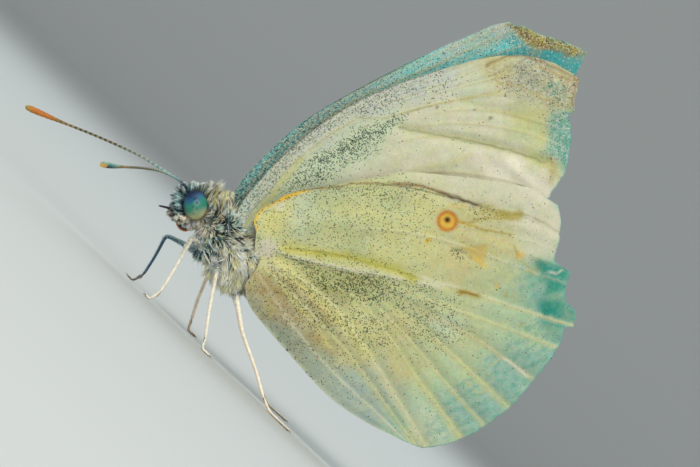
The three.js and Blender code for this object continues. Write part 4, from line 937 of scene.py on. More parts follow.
# %% Paint the upper sides, which face each other
def paint_upper_forewing(sheet):
    """The upper side: dusty at its front and brown where it frays. Its blue-grey and cyan are painted shade
    and backlight between the wings.
    """
    brush = Brush(sheet.flat, "pale_mint", 401)
    stroke, zone, mottle = brush.stroke, brush.zone, brush.mottle
    sprinkle, inside, blend = brush.sprinkle, brush.inside, brush.blend
    # Painted shade and backlight: the deep teal, steel, lagoon, sea and cyan washes stand for the light
    # between the wings, over a pale upper side.
    brush.washes(dict(
        deep_teal=[(-1.7, 3.2), (-1.8, 4.5), (-1.8, 6), (-1.9, 7.9), (-1, 3)],
        steel=[(-1.6, 9.7), (-1.1, 11.5), (-0.4, 13.6), (-1.5, 8.7), (-0.4, 11.7), (0.4, 15.1)],
        lagoon=[(1.4, 17.8), (1, 16.3), (2, 18.5), (1, 14.9), (1.9, 16.3)],
        sea=[(2.4, 20.5), (2.8, 21.4)],
        cyan=[(3.8, 20.9), (3.4, 19.8), (4.6, 22.3), (7, 23.5), (8.2, 24.1), (4.5, 21.1), (2.6, 18.4)],
        ash=[(2.7, 21.1), (3.3, 22.3), (2, 19.4)],
        beige=[(5.6, 24), (7.2, 24.7), (8.2, 25), (4.6, 23.6)],
        pale_mint=[(3.8, 12.3), (2.8, 8.7), (6.3, 17.2), (9.5, 17.6), (8.4, 12.2), (10, 20.7)],
    ), 1.5)
    # Painted shade and backlight between the wings: the front strip is mottled steel, cyan and navy, streaked
    # cyan and lagoon towards the tip, and edged steel. The navy near the root lies over the real dark
    # dusting.
    front = distance_to(brush.steady, RIGHT_FRONT)
    strip = 1 - fade(1.5, 3.5, front)
    mottle(strip, "steel", 0.3, 0.5, 111)
    mottle(strip, "cyan", 0.2, 0.6, 113)
    mottle(strip, "pale_mint", 0.45, 0.25, 119)
    mottle(strip * (1 - 0.92 * fade(9, 16, brush.loose[:, 1])), "navy", 0.8, 0.3, 117)
    stroke([(0.4, 14), (1.4, 16.4), (2.7, 18.8)], 0.5, "cyan", 0.4)
    stroke([(2.6, 18.9), (3.3, 20.4), (4.2, 21.8)], 0.45, "lagoon", 0.6)
    blend(sheet.vein, "ochre", 0.45)
    blend(1 - fade(0.04, 0.12, distance_to(sheet.flat, RIGHT_FRONT)), "steel", 0.7)
    stroke([(-0.6, 11.9), (0.9, 15.5), (2.2, 18.8), (3.8, 22.3)], 0.06, "ochre", 0.45)
    stroke([(1.9, 16.3), (2.9, 19.4), (3.8, 21.8)], 0.06, "ochre", 0.45)
    flap = [(3.3, 23.1), (4.3, 24), (8.3, 25.4), (8.5, 24.7), (7, 24), (5.9, 23.3), (4.7, 22.9)]
    zone(flap, 0.14, "bronze", 0.85)
    mottle(inside(flap, 0.14), "smoke", 0.9, 0.2, 115)
    stroke([(4.3, 23.1), (5.4, 23.3), (6.4, 23.7), (7.5, 24.2), (8.3, 24.7)], 0.1, "brown", 0.7)
    stroke([(3.6, 23.1), (4.5, 23.3), (5, 23.3)], 0.16, "dark", 0.5)
    stroke([(4.5, 23.9), (6.1, 24.5), (8.1, 25.3)], 0.07, "mint", 0.7)
    low = 1 - fade(3, 17, brush.loose[:, 1])
    sprinkle((1 - fade(1.6, 3.2, front)) * (0.4 + 0.6 * low), 0.45, 0.3)
    sprinkle(fade(14, 18, brush.loose[:, 1]), 0.12, 0.2)
    sprinkle((1 - fade(2.0, 4.0, front)) * (0.2 + 0.8 * fade(3, 14, brush.loose[:, 1])), 0.16, 0.3)
    sprinkle(inside(flap, 0.2), 0.28, 0.16)
    brush.pale *= 1 - 0.8 * inside([(5.7, 23), (7, 23.9), (8.8, 24.9), (9, 23.7), (6.4, 22.8)], 0.3)
    brush.dust *= 1 - 0.9 * inside([(5.8, 22.9), (7.1, 23.8), (8.8, 24.9), (9, 23.7), (6.5, 22.7)], 0.3)
    # Painted light: the teal rim along the worn margin stands for light shining through its thin edge.
    blend(1 - fade(0.02, 0.13, sheet.near_worn), "rim", 0.6)
    return brush


def paint_upper_hindwing(sheet):
    """The upper side: plain white, grey at the root."""
    brush = Brush(sheet.flat, "cream", 503)
    root = 1 - fade(2, 11, np.hypot(*brush.loose.T))
    brush.blend(root, "steel", 0.6)
    brush.blend(sheet.vein, "sand", 0.4)
    brush.blend(fade(0.75, 1, sheet.t), "sea", 0.5)
    brush.sprinkle(root, 0.4)
    return brush


print("brushes ready")

# %% [markdown]
# ## Wings: the finish
#
# Up close a wing is not smooth paint but a mosaic: every scale catches the light in its own way.
# The painted colours could be used as they are, but they would look airbrushed. So the finish
# breaks them up with cells about a tenth of a millimetre wide, the size of a scale. In each cell
# a draw decides whether a dark scale lies there, and the painted number says how often it does.
# The same cells lift a little as bump, and sheen gives the powdery edge.

# %% Small helpers for building finishes
def new_finish(name, roughness, sheen=0.0, specular=0.5):
    material = bpy.data.materials.new(name)
    material.use_nodes = True
    shader = material.node_tree.nodes["Principled BSDF"]
    shader.inputs["Roughness"].default_value = roughness
    shader.inputs["Sheen Weight"].default_value = sheen
    shader.inputs["Sheen Roughness"].default_value = 0.4
    shader.inputs["Specular IOR Level"].default_value = specular
    return material, shader


def add(material, kind, links=(), **settings):
    """Add a node. Links go from a socket into a named input; settings fill the rest."""
    node = material.node_tree.nodes.new(kind)
    for key, value in settings.items():
        if hasattr(node, key):
            setattr(node, key, value)
        else:
            node.inputs[key].default_value = value
    for socket, source in dict(links).items():
        material.node_tree.links.new(source, node.inputs[socket])
    return node


def join(material, source, target):
    material.node_tree.links.new(source, target)


def number(material, operation, a, b):
    """Arithmetic in a finish: a and b are sockets or plain numbers."""
    node = material.node_tree.nodes.new("ShaderNodeMath")
    node.operation = operation
    for slot, value in enumerate((a, b)):
        if isinstance(value, (int, float)):
            node.inputs[slot].default_value = value
        else:
            material.node_tree.links.new(value, node.inputs[slot])
    return node.outputs[0]


def scaled(material, source, gain, shift):
    """A number in a finish times its gain, plus its shift."""
    return number(material, "ADD", number(material, "MULTIPLY", source, gain), shift)


def mixed(material, share, a, b, way="MIX"):
    """Mix two colours: each a socket or a plain colour."""
    node = material.node_tree.nodes.new("ShaderNodeMix")
    node.data_type = "RGBA"
    node.blend_type = way
    for socket, value in ((node.inputs[0], share), (node.inputs[6], a), (node.inputs[7], b)):
        if isinstance(value, bpy.types.NodeSocket):
            material.node_tree.links.new(value, socket)
        elif isinstance(value, (int, float)):
            socket.default_value = value
        else:
            socket.default_value = (*value, 1)
    return node.outputs[2]


print("finish helpers ready")

# %% Mix the wing finish
SCALE_CELLS = 12500.0
GRAIN_CELLS = 16000.0
MOTTLE_PACE = 1700.0
PALE_SCALE = (0.66, 0.6, 0.47)
DARK_SHARE = (0.08, 0.13, 0.11)


def wing_powder(name):
    material, shader = new_finish(name, 0.62, sheen=0.06, specular=0.22)
    where = add(material, "ShaderNodeTexCoord").outputs["Object"]
    tint = add(material, "ShaderNodeAttribute", attribute_name="tint").outputs["Color"]
    dust = add(material, "ShaderNodeAttribute", attribute_name="dust").outputs["Fac"]
    pale = add(material, "ShaderNodeAttribute", attribute_name="pale").outputs["Fac"]
    mottle = add(material, "ShaderNodeTexNoise", {"Vector": where}, Scale=MOTTLE_PACE, Detail=4.0,
                 Roughness=0.85)
    grain = add(material, "ShaderNodeTexVoronoi", {"Vector": where}, Scale=GRAIN_CELLS)
    cells = add(material, "ShaderNodeTexVoronoi", {"Vector": where}, Scale=SCALE_CELLS)
    parts = add(material, "ShaderNodeSeparateColor", {"Color": cells.outputs["Color"]})
    bits = add(material, "ShaderNodeSeparateColor", {"Color": grain.outputs["Color"]})
    light = scaled(material, mottle.outputs["Fac"], 0.46, 0.77)
    ground = mixed(material, 1.0, tint, light, "MULTIPLY")
    ground = mixed(material, 0.06, ground, grain.outputs["Color"], "OVERLAY")
    ground = mixed(material, 0.12, ground, grain.outputs["Color"], "SOFT_LIGHT")
    lit = number(material, "MULTIPLY", number(material, "LESS_THAN", bits.outputs["Red"], pale), 0.6)
    flecks = mixed(material, lit, ground, PALE_SCALE)
    chosen = number(material, "LESS_THAN", parts.outputs["Red"], dust)
    reach = scaled(material, dust, 0.26, scaled(material, parts.outputs["Green"], 0.22, 0.35))
    inside_scale = number(material, "LESS_THAN", cells.outputs["Distance"], reach)
    speck = number(material, "MULTIPLY", chosen, inside_scale)
    strength = scaled(material, parts.outputs["Blue"], 0.25, 0.75)
    softness = number(material, "SUBTRACT", 1.0, number(material, "MULTIPLY", pale, 0.5))
    strength = number(material, "MULTIPLY", strength, softness)
    dark = mixed(material, 1.0, tint, DARK_SHARE, "MULTIPLY")
    colour = mixed(material, number(material, "MULTIPLY", speck, strength), flecks, dark)
    join(material, colour, shader.inputs["Base Color"])
    height = number(material, "SUBTRACT", number(material, "MULTIPLY", mottle.outputs["Fac"], 0.8),
                    number(material, "MULTIPLY", cells.outputs["Distance"], 0.5))
    bump = add(material, "ShaderNodeBump", {"Height": height}, Strength=0.22, Distance=0.00004)
    join(material, bump.outputs["Normal"], shader.inputs["Normal"])
    return material


WING_FINISH = wing_powder("wing powder")
print("scales per mm on the wings:", round(SCALE_CELLS * MM, 1))

# %% Fold and build the four wings
FOREWING_CREASES = [
    (LONG_CREASE, 0.35, -0.16),
    ([(4.5, 17.3), (6.2, 18.2), (8.1, 19.1), (10.1, 19.5)], 0.5, -0.12),
    (TIP_CREASE, 0.4, 0.14),
    (INNER_CREASE, 0.4, 0.08),
    ([(5.7, 21.6), (7.6, 22.0), (9.1, 21.7)], 0.5, 0.12),
]
HINDWING_CREASES = [
    (OLIVE_BAND, 0.32, -0.1),
    (PALE_BAND[:6], 0.22, 0.1),
    ([(2.9, 1.6), (4.7, 2.0), (6.9, 2.0), (8.7, 2.0), (10.8, 1.3)], 0.2, 0.1),
    ([(17.8, 6.8), (18.0, 5.5), (18.1, 4.4)], 0.2, 0.08),
    ([(14.9, 12.9), (16.5, 12.3), (17.2, 11.2), (18.5, 10.2)], 0.35, -0.14),
    ([(2.0, 4.0), (4.2, 6.3), (7.1, 8.8)], 0.7, 0.16),
]
CREASE_PLACES = 30
FOREWING_SWELL, HINDWING_SWELL = 0.06, 0.09


def relief_of(sheet, creases, billow):
    """How far a wing's surface stands out from its plane: folds, and a swell between veins."""
    x, z = sheet.flat.T
    rise = billow * fade(0.05, 1.1, sheet.near_vein) * fade(0.1, 0.9, sheet.t)
    swells = 0.03 * waves(x, z, 17, 5.5) * fade(0.15, 0.5, sheet.t)
    ripples = 0.007 * waves(x, z, 19, 1.6) * fade(0.3, 0.9, sheet.t)
    rise += swells + ripples
    for way, width, height in creases:
        gap = distance_to(sheet.flat, smooth_way(way, CREASE_PLACES))
        rise += height * bell(gap, width)
    return rise


def build_wing(node, drawing, side, out, creases, billow, outer, inner):
    """One wing as a closed sheet, with its outer and its inner face painted."""
    sheet = Sheet(drawing, len(node))
    corners = wing_corners(sheet, side, out, relief_of(sheet, creases, billow))
    faces = facing_out(corners, sheet.faces())
    piece = make_piece(node + "_sheet", corners, faces, WING_FINISH, [node])
    painted = [outer(sheet), inner(sheet)]
    paint(piece, "tint", np.vstack([face.tint for face in painted]))
    paint(piece, "dust", np.concatenate([face.dust for face in painted]))
    paint(piece, "pale", np.concatenate([face.pale for face in painted]))
    return piece


def paint_right_forewing(sheet):
    return paint_forewing(sheet, marked=False)


def paint_right_hindwing(sheet):
    return paint_hindwing(sheet, marked=False)


wings = [
    build_wing("forewing_left", FOREWING_LEFT, -1, forewing_out, FOREWING_CREASES, FOREWING_SWELL,
               paint_forewing, paint_upper_forewing),
    build_wing("forewing_right", FOREWING_RIGHT, 1, forewing_out, [], FOREWING_SWELL,
               paint_right_forewing, paint_upper_forewing),
    build_wing("hindwing_left", HINDWING_LEFT, -1, hindwing_out, HINDWING_CREASES, HINDWING_SWELL,
               paint_hindwing, paint_upper_hindwing),
    build_wing("hindwing_right", HINDWING_RIGHT, 1, hindwing_out, [], HINDWING_SWELL,
               paint_right_hindwing, paint_upper_hindwing),
]
print("wing faces:", sum(len(wing.data.polygons) for wing in wings))

# %% [markdown]
# ## Skin: one body under the fur
#
# Head, thorax and abdomen are joined by soft necks, so no seam should show between them. They
# could be sculpted by hand, but a body this small is easily built from tubes and balls: each
# follows its solid, a little inside it. A voxel remesh then melts them into one closed skin, and
# smoothing takes away the creases where they met.

# %% Tubes and balls as arrays
def tube_shell(path, radii, sides=24, up=(0, 0, 1)):
    """A closed tube along a path. A radius may be a pair: one sideways and one upwards."""
    path = np.asarray(path, dtype=float)
    radii = np.asarray(radii, dtype=float)
    if radii.ndim == 1:
        radii = np.column_stack([radii, radii])
    onward = np.gradient(path, axis=0)
    onward /= np.linalg.norm(onward, axis=1)[:, None]
    over = np.asarray(up, dtype=float)
    overs = []
    for heading in onward:
        over = over - heading * (over @ heading)
        over = over / np.linalg.norm(over)
        overs.append(over)
    overs = np.array(overs)
    across = np.cross(overs, onward)
    turn = np.linspace(0, 2 * np.pi, sides, endpoint=False)
    rings = (path[:, None] + np.cos(turn)[None, :, None] * across[:, None] * radii[:, 0, None, None]
             + np.sin(turn)[None, :, None] * overs[:, None] * radii[:, 1, None, None])
    count = len(path)
    corners = np.vstack([rings.reshape(-1, 3), path[:1], path[-1:]])
    index = np.arange(count * sides).reshape(count, sides)
    after = np.roll(index, -1, axis=1)
    quads = faces_between(index, after)
    start, end = count * sides, count * sides + 1
    caps = np.vstack([
        np.column_stack([np.full(sides, start), index[0], after[0]]),
        np.column_stack([np.full(sides, end), after[-1], index[-1]]),
    ])
    return corners, quads[:, ::-1], caps[:, ::-1]


def ball_shell(centre, radii, sides=32):
    turn = np.linspace(0.06, np.pi - 0.06, sides // 2)
    path = np.asarray(centre) + np.column_stack([-np.cos(turn) * radii[0], 0 * turn, 0 * turn])
    return tube_shell(path, np.column_stack([np.sin(turn) * radii[1], np.sin(turn) * radii[2]]), sides)


def pile(shells):
    """Many shells as one set of corners, quads and triangles."""
    starts = np.cumsum([0] + [len(shell[0]) for shell in shells])
    corners = np.vstack([shell[0] for shell in shells])
    quads = np.vstack([shell[1] + start for shell, start in zip(shells, starts)])
    tris = np.vstack([shell[2] + start for shell, start in zip(shells, starts)])
    return corners, [quads, tris]


HEAD_MIDDLE = np.array([-EYE_AHEAD, 0, EYE_ABOVE])
FACE_TIP = math.radians(43)
EYE_OUT = 0.74


def on_head(places):
    """Places given looking along the face, turned to where the head holds them."""
    p = np.asarray(places, dtype=float)
    c, s = math.cos(FACE_TIP), math.sin(FACE_TIP)
    turned = np.column_stack([c * p[:, 0] - s * p[:, 2], p[:, 1], s * p[:, 0] + c * p[:, 2]])
    return turned + HEAD_MIDDLE


def shell_on_head(shell):
    return on_head(shell[0]), shell[1], shell[2]


print("a ball has", len(ball_shell([0, 0, 0], [1, 1, 1])[0]), "corners")

# %% Shape the body and melt it into one skin
THORAX_STATIONS = np.array([
    [-2.1, 0.60, 0.90, 1.10], [-1.5, 0.55, 1.25, 1.50], [-0.6, 0.48, 1.50, 1.80], [0.4, 0.36, 1.60, 1.90],
    [1.4, 0.20, 1.50, 1.72], [2.1, 0.05, 1.35, 1.45], [2.6, -0.10, 1.15, 1.15],
])
UNDER_FUR = 0.92
THORAX_RINGS, THORAX_SIDES = 60, 40
ABDOMEN_RINGS, ABDOMEN_SIDES = 160, 44
SEGMENTS = 8
VOXEL, SMOOTHINGS = 0.075, 6
SKULL, SKULL_RADII = [-0.12, 0, -0.02], [0.98, 0.8, 1.03]
HIPS = [(-1.1, 0.85, -0.95), (0.4, 0.9, -1.2), (1.7, 0.75, -1.05)]


def closing_ends(count, share):
    """How a rounded body's radius falls to nothing at both ends."""
    t = np.linspace(-1, 1, count)
    return np.sqrt(np.clip(1 - (np.clip(np.abs(t) - (1 - share), 0, None) / share) ** 2, 0.001, 1))


def thorax_shell():
    x = np.linspace(-2.35, 2.8, THORAX_RINGS)
    stations, *profiles = THORAX_STATIONS.T
    z, half_width, half_height = (np.interp(x, stations, profile) for profile in profiles)
    close = closing_ends(THORAX_RINGS, 0.22) * UNDER_FUR
    radii = np.column_stack([half_width * close, half_height * close])
    return tube_shell(np.column_stack([x, 0 * x, z]), radii, THORAX_SIDES)


def abdomen_shell():
    x = np.linspace(2.2, 11.2, ABDOMEN_RINGS)
    share = (x - ABDOMEN_FROM) / (ABDOMEN_TO - ABDOMEN_FROM)
    ring = np.abs(((share * SEGMENTS) % 1) - 0.5) * 2
    radius = abdomen_radius(x) * 0.95 * (1 - 0.07 * ring**5) + 0.02
    path = np.column_stack([x, 0 * x, abdomen_height(x)])
    return tube_shell(path, np.column_stack([radius * 0.93, radius]), ABDOMEN_SIDES)


def melt(shells, voxel, smoothing):
    """One closed skin round many shells: its corners and its four-cornered faces."""
    corners, groups = pile(shells)
    mesh = bpy.data.meshes.new("melting")
    mesh.from_pydata(corners.tolist(), [], [face for group in groups for face in group.tolist()])
    lump = bpy.data.objects.new("melting", mesh)
    bpy.context.collection.objects.link(lump)
    remesh = lump.modifiers.new("remesh", "REMESH")
    remesh.mode = "VOXEL"
    remesh.voxel_size = voxel
    smooth = lump.modifiers.new("smooth", "SMOOTH")
    smooth.iterations = smoothing
    smooth.factor = 0.6
    made = lump.evaluated_get(bpy.context.evaluated_depsgraph_get()).to_mesh()
    places = np.empty(len(made.vertices) * 3)
    made.vertices.foreach_get("co", places)
    around = np.empty(len(made.polygons) * 4, dtype=np.int32)
    made.polygons.foreach_get("vertices", around)
    bpy.data.objects.remove(lump)
    bpy.data.meshes.remove(mesh)
    return places.reshape(-1, 3), around.reshape(-1, 4)


def tegula_shell(side):
    """The small scale that covers the root of a forewing."""
    way = [[-1.35, side * 1.0, 1.55], [-0.95, side * 1.3, 1.6], [-0.5, side * 1.42, 1.55],
           [0.0, side * 1.3, 1.4]]
    return tube_shell(way, [0.12, 0.36, 0.38, 0.1], 16)


body_shells = [
    thorax_shell(),
    abdomen_shell(),
    shell_on_head(ball_shell(SKULL, SKULL_RADII)),
    shell_on_head(ball_shell([-0.35, 0, -0.72], [0.56, 0.46, 0.56])),
    tube_shell([[-3.1, 0, 0.8], [-2.4, 0, 0.7], [-1.6, 0, 0.62]], [0.66, 0.66, 0.8], 24),
    *[ball_shell([x, side * y, z], [0.5, 0.42, 0.55], 20) for x, y, z in HIPS for side in (-1, 1)],
    *[tegula_shell(side) for side in (-1, 1)],
]
SKIN, SKIN_FACES = melt(body_shells, VOXEL, SMOOTHINGS)
print("skin corners:", len(SKIN), "from", len(body_shells), "shells")

# %% [markdown]
# ## Skin: its markings
#
# The skin shows only where the fur parts, but it must carry the same colours, or the partings
# would flash. So one list of regions serves both. Each region says where it lies (seen from the
# side), how its fur leans, how far it stands up, how long it is and which colours it mixes. A tuft
# draws its colour from the regions near it, which gives the salt and pepper of real fur.

# %% List the coat's regions
PAINTS.update(
    ink=(16, 26, 40), night=(34, 74, 102), fog=(112, 158, 154), ice=(200, 228, 222), milk=(250, 245, 222),
    hay=(240, 226, 160), peach=(242, 218, 190), amber=(226, 166, 50), lilac=(206, 206, 216),
    moss=(112, 128, 74),
)


def leaning(right, up):
    """A direction in the x-z plane, given as seen when the body's picture is turned."""
    c, s = math.cos(BODY_TURN), math.sin(BODY_TURN)
    return np.array([c * right - s * up, 0, s * right + c * up])


COAT_REGIONS = [
    # name, middle (x, z), reach, lie, rise, length, paints of the long fur, paints of the fur beneath
    ("face", (-4.3, 0.2), 0.75, leaning(-0.9, 0.35), 0.8, 0.68, "ice milk night fog ink ice", "night ink"),
    ("brow", (-4.6, 1.0), 0.6, leaning(-0.45, 0.9), 0.8, 0.68, "ice ink ice milk night", "night fog"),
    ("crown", (-4.2, 1.6), 0.6, leaning(-0.1, 1), 0.8, 0.52, "ice milk fog night milk", "night fog"),
    ("nape", (-3.4, 1.8), 0.7, leaning(0.2, 1), 0.7, 0.6, "milk hay ice night milk", "night moss"),
    ("collar", (-2.7, 2.0), 0.8, leaning(0.15, 1), 0.6, 2.15, "milk hay amber ice hay night milk",
     "night moss amber"),
    ("collar back", (-1.8, 2.3), 0.6, leaning(-0.05, 1), 0.5, 1.5, "milk hay ice fog milk", "night fog"),
    ("cheek", (-2.0, 0.0), 0.6, leaning(-0.15, -1), 0.3, 0.6, "peach milk peach lilac", "fog peach"),
    ("behind the eye", (-2.4, 1.4), 0.5, leaning(0.3, 0.7), 0.5, 0.5, "ink fog hay ink", "ink ink"),
    ("shoulder", (-1.9, 1.7), 0.6, leaning(0.1, 1), 0.6, 0.9, "hay amber milk ink hay ink", "ink ink"),
    ("wing base", (-0.6, 2.1), 0.6, leaning(0.6, 0.8), 0.1, 0.42, "ice milk steel ice night", "night fog"),
    ("tangle", (-1.3, 0.8), 0.6, leaning(0.7, 0.1), 0.5, 0.6, "ink hay ice steel ink", "ink ink"),
    ("band", (-0.3, 1.3), 0.6, leaning(0.95, 0.1), 0.3, 0.5, "night ink ink ice", "ink ink"),
    ("wing root", (0.7, 1.7), 0.9, leaning(0.8, -0.15), 0.25, 0.42, "ink ink night ink fog", "ink ink"),
    ("side plate", (-0.9, -0.6), 0.85, leaning(0.1, -1), 0.25, 0.5, "fog ice night steel ink smoke",
     "night ink"),
    ("curl", (0.4, 0.8), 0.5, leaning(0.6, -0.6), 0.3, 0.7, "milk ice ink peach", "ink ink"),
    ("breast", (0.1, -1.8), 0.9, leaning(-0.15, -1), 0.35, 0.6, "lilac ice milk milk", "fog lilac"),
    ("flank", (0.9, -0.3), 0.8, leaning(-0.15, -1), 0.3, 1.15, "peach milk ice night", "ink night"),
    ("rear flank", (1.8, 0.1), 0.9, leaning(-0.25, -1), 0.4, 0.8, "hay ice milk ice", "night fog"),
    ("belly", (1.6, -1.6), 0.8, leaning(-0.2, -1), 0.4, 0.6, "peach lilac milk", "peach lilac"),
    ("back", (0.5, 2.2), 1.2, np.array([1.0, 0, 0.2]), 0.3, 0.45, "fog moss hay ice", "night moss"),
    ("waist", (3.0, 0.0), 1.0, np.array([1.0, 0, -0.5]), 0.3, 0.6, "hay peach fog", "moss fog"),
    ("abdomen back", (7.0, 1.3), 1.6, np.array([1.0, 0, 0]), 0.14, 0.3, "hay fog smoke", "smoke moss"),
    ("abdomen side", (7.0, 0.1), 1.4, np.array([1.0, 0, -0.1]), 0.14, 0.28, "hay beige sand cream", "beige"),
    ("abdomen belly", (7.0, -1.0), 1.4, np.array([1.0, 0, -0.2]), 0.14, 0.3, "milk cream peach", "cream"),
    ("tail tuft", (11.0, 0.4), 0.8, np.array([1.0, 0, -0.1]), 0.3, 0.5, "hay moss milk", "moss"),
]
REGION_MIDDLES = np.array([region[1] for region in COAT_REGIONS])
REGION_REACHES = np.array([region[2] for region in COAT_REGIONS])
REGION_LIES = np.array([region[3] / np.linalg.norm(region[3]) for region in COAT_REGIONS])
REGION_RISES = np.array([region[4] for region in COAT_REGIONS])
REGION_LENGTHS = np.array([region[5] for region in COAT_REGIONS])
ABDOMEN_STRETCH = 3.2
LONG_FUR, UNDERFUR = 6, 7
print("coat regions:", len(COAT_REGIONS))


def region_shares(places):
    """How strongly each region holds at each place: rows of shares that add up to one."""
    gap = places[:, None, [0, 2]] - REGION_MIDDLES[None]
    on_abdomen = np.array([region[0].startswith("abdomen") for region in COAT_REGIONS])
    gap[:, on_abdomen, 0] /= ABDOMEN_STRETCH
    pull = np.exp(-(gap**2).sum(axis=2) / REGION_REACHES**2) + 1e-7
    pull = pull**1.5
    return pull / pull.sum(axis=1)[:, None]


def region_paints(layer):
    """The paint names of each region's long fur or underfur."""
    return [region[layer].split() for region in COAT_REGIONS]

# %% A finish of small raised cells
def clouded_tint(material, pace, detail, gain, shift):
    """The painted tint under soft lighter and darker clouds, and where its textures are read."""
    where = add(material, "ShaderNodeTexCoord").outputs["Object"]
    tint = add(material, "ShaderNodeAttribute", attribute_name="tint").outputs["Color"]
    haze = add(material, "ShaderNodeTexNoise", {"Vector": where}, Scale=pace, Detail=detail)
    light = scaled(material, haze.outputs["Fac"], gain, shift)
    return where, mixed(material, 1.0, tint, light, "MULTIPLY")


def raise_cells(material, shader, clouds, pace, share, lift, depth, randomness=1.0):
    """Break the clouded tint up with cells: share says how much, lift and depth how far they rise."""
    where, ground = clouded_tint(material, *clouds)
    cells = add(material, "ShaderNodeTexVoronoi", {"Vector": where}, Scale=pace, Randomness=randomness)
    broken = mixed(material, share, ground, cells.outputs["Color"], "SOFT_LIGHT")
    join(material, broken, shader.inputs["Base Color"])
    bump = add(material, "ShaderNodeBump", {"Height": cells.outputs["Distance"]}, Strength=lift,
               Distance=depth)
    join(material, bump.outputs["Normal"], shader.inputs["Normal"])


print("cell finish ready")

# %% Build the skin piece
REGION_TINTS = np.array([np.mean(tones(palette), axis=0) for palette in region_paints(UNDERFUR)])
skin_finish, skin_shader = new_finish("bare skin", 0.7, sheen=0.05, specular=0.2)
raise_cells(skin_finish, skin_shader, (2500.0, 5.0, 0.8, 0.35), 9000.0, 0.25, 0.6, 0.00008)
skin = make_piece("body_skin", SKIN, SKIN_FACES, skin_finish, ["head", "thorax", "abdomen"])
paint(skin, "tint", region_shares(SKIN) @ REGION_TINTS * 0.8)
print("skin faces:", len(SKIN_FACES))

# %% [markdown]
# ## Fur and scales
#
# Each tuft is a thin, three-sided spike that rises from the skin and bends over along its lie.
# Hair particles would be quicker, but they aren't real mesh. Here every tuft is: its root is drawn
# at random on the skin, and nearby tufts lean together at their tips, as damp fur does. Each
# tuft also gets its own tiny patch on a flat map of the body, so that its colour can be baked.

# %% Grow tufts on a skin
class Ground:
    """Skin that tufts can grow on: it draws roots evenly over its faces."""

    def __init__(self, corners, faces):
        tris = faces if faces.shape[1] == 3 else np.vstack([faces[:, [0, 1, 2]], faces[:, [0, 2, 3]]])
        self.a, self.b, self.c = (corners[tris[:, k]] for k in range(3))
        cross = np.cross(self.b - self.a, self.c - self.a)
        self.area = np.linalg.norm(cross, axis=1)
        self.normal = cross / np.maximum(self.area, 1e-12)[:, None]

    def roots(self, count, keep):
        middles = (self.a + self.b + self.c) / 3
        weight = self.area * keep(middles, self.normal)
        chosen = RNG.choice(len(weight), count, p=weight / weight.sum())
        u, v = RNG.random((2, count))
        flip = u + v > 1
        u, v = np.where(flip, 1 - u, u), np.where(flip, 1 - v, v)
        along_b, along_c = u[:, None] * (self.b - self.a)[chosen], v[:, None] * (self.c - self.a)[chosen]
        return self.a[chosen] + along_b + along_c, self.normal[chosen]


TUFT_STEPS = np.array([0.0, 0.3, 0.6, 0.85, 1.0])
TUFT_GIRTH = np.array([0.8, 1.0, 0.75, 0.4])
# Painted shade and light: each tuft is drawn darker at its root, where shade falls in the fur, and brighter
# at its tip.
TUFT_SHADE_AND_LIGHT = np.array([0.3, 0.8, 1.15, 1.3, 1.35])
TUFT_TURN = np.array([np.pi / 2, np.pi * 7 / 6, np.pi * 11 / 6])
TUFT_CORNERS = 13
TUFT_QUADS = np.array([
    [3 * r + k, 3 * r + (k + 1) % 3, 3 * r + 3 + (k + 1) % 3, 3 * r + 3 + k]
    for r in range(3) for k in range(3)
])
TUFT_TRIS = np.array([[9 + k, 9 + (k + 1) % 3, 12] for k in range(3)] + [[2, 1, 0]])
ROOT_DEPTH = 0.06
PATCH = 0.003
FLATNESS = 0.5
ALIKE = 0.55
CURL, DROOP = 0.22, 0.25
BATCH = 2000


def unit(directions):
    return directions / np.linalg.norm(directions, axis=1)[:, None]


def lean_together(roots, tips, tints, clumps, pull):
    """Draw each tip, and its colour, towards those of the nearest of a few leading tufts."""
    leaders = RNG.choice(len(roots), clumps, replace=False)
    for start in range(0, len(roots), BATCH):
        part = slice(start, start + BATCH)
        gap = ((roots[part, None] - roots[None, leaders]) ** 2).sum(axis=2)
        nearest = leaders[gap.argmin(axis=1)]
        tips[part] += (tips[nearest] - tips[part]) * pull
        tints[part] += (tints[nearest] - tints[part]) * ALIKE


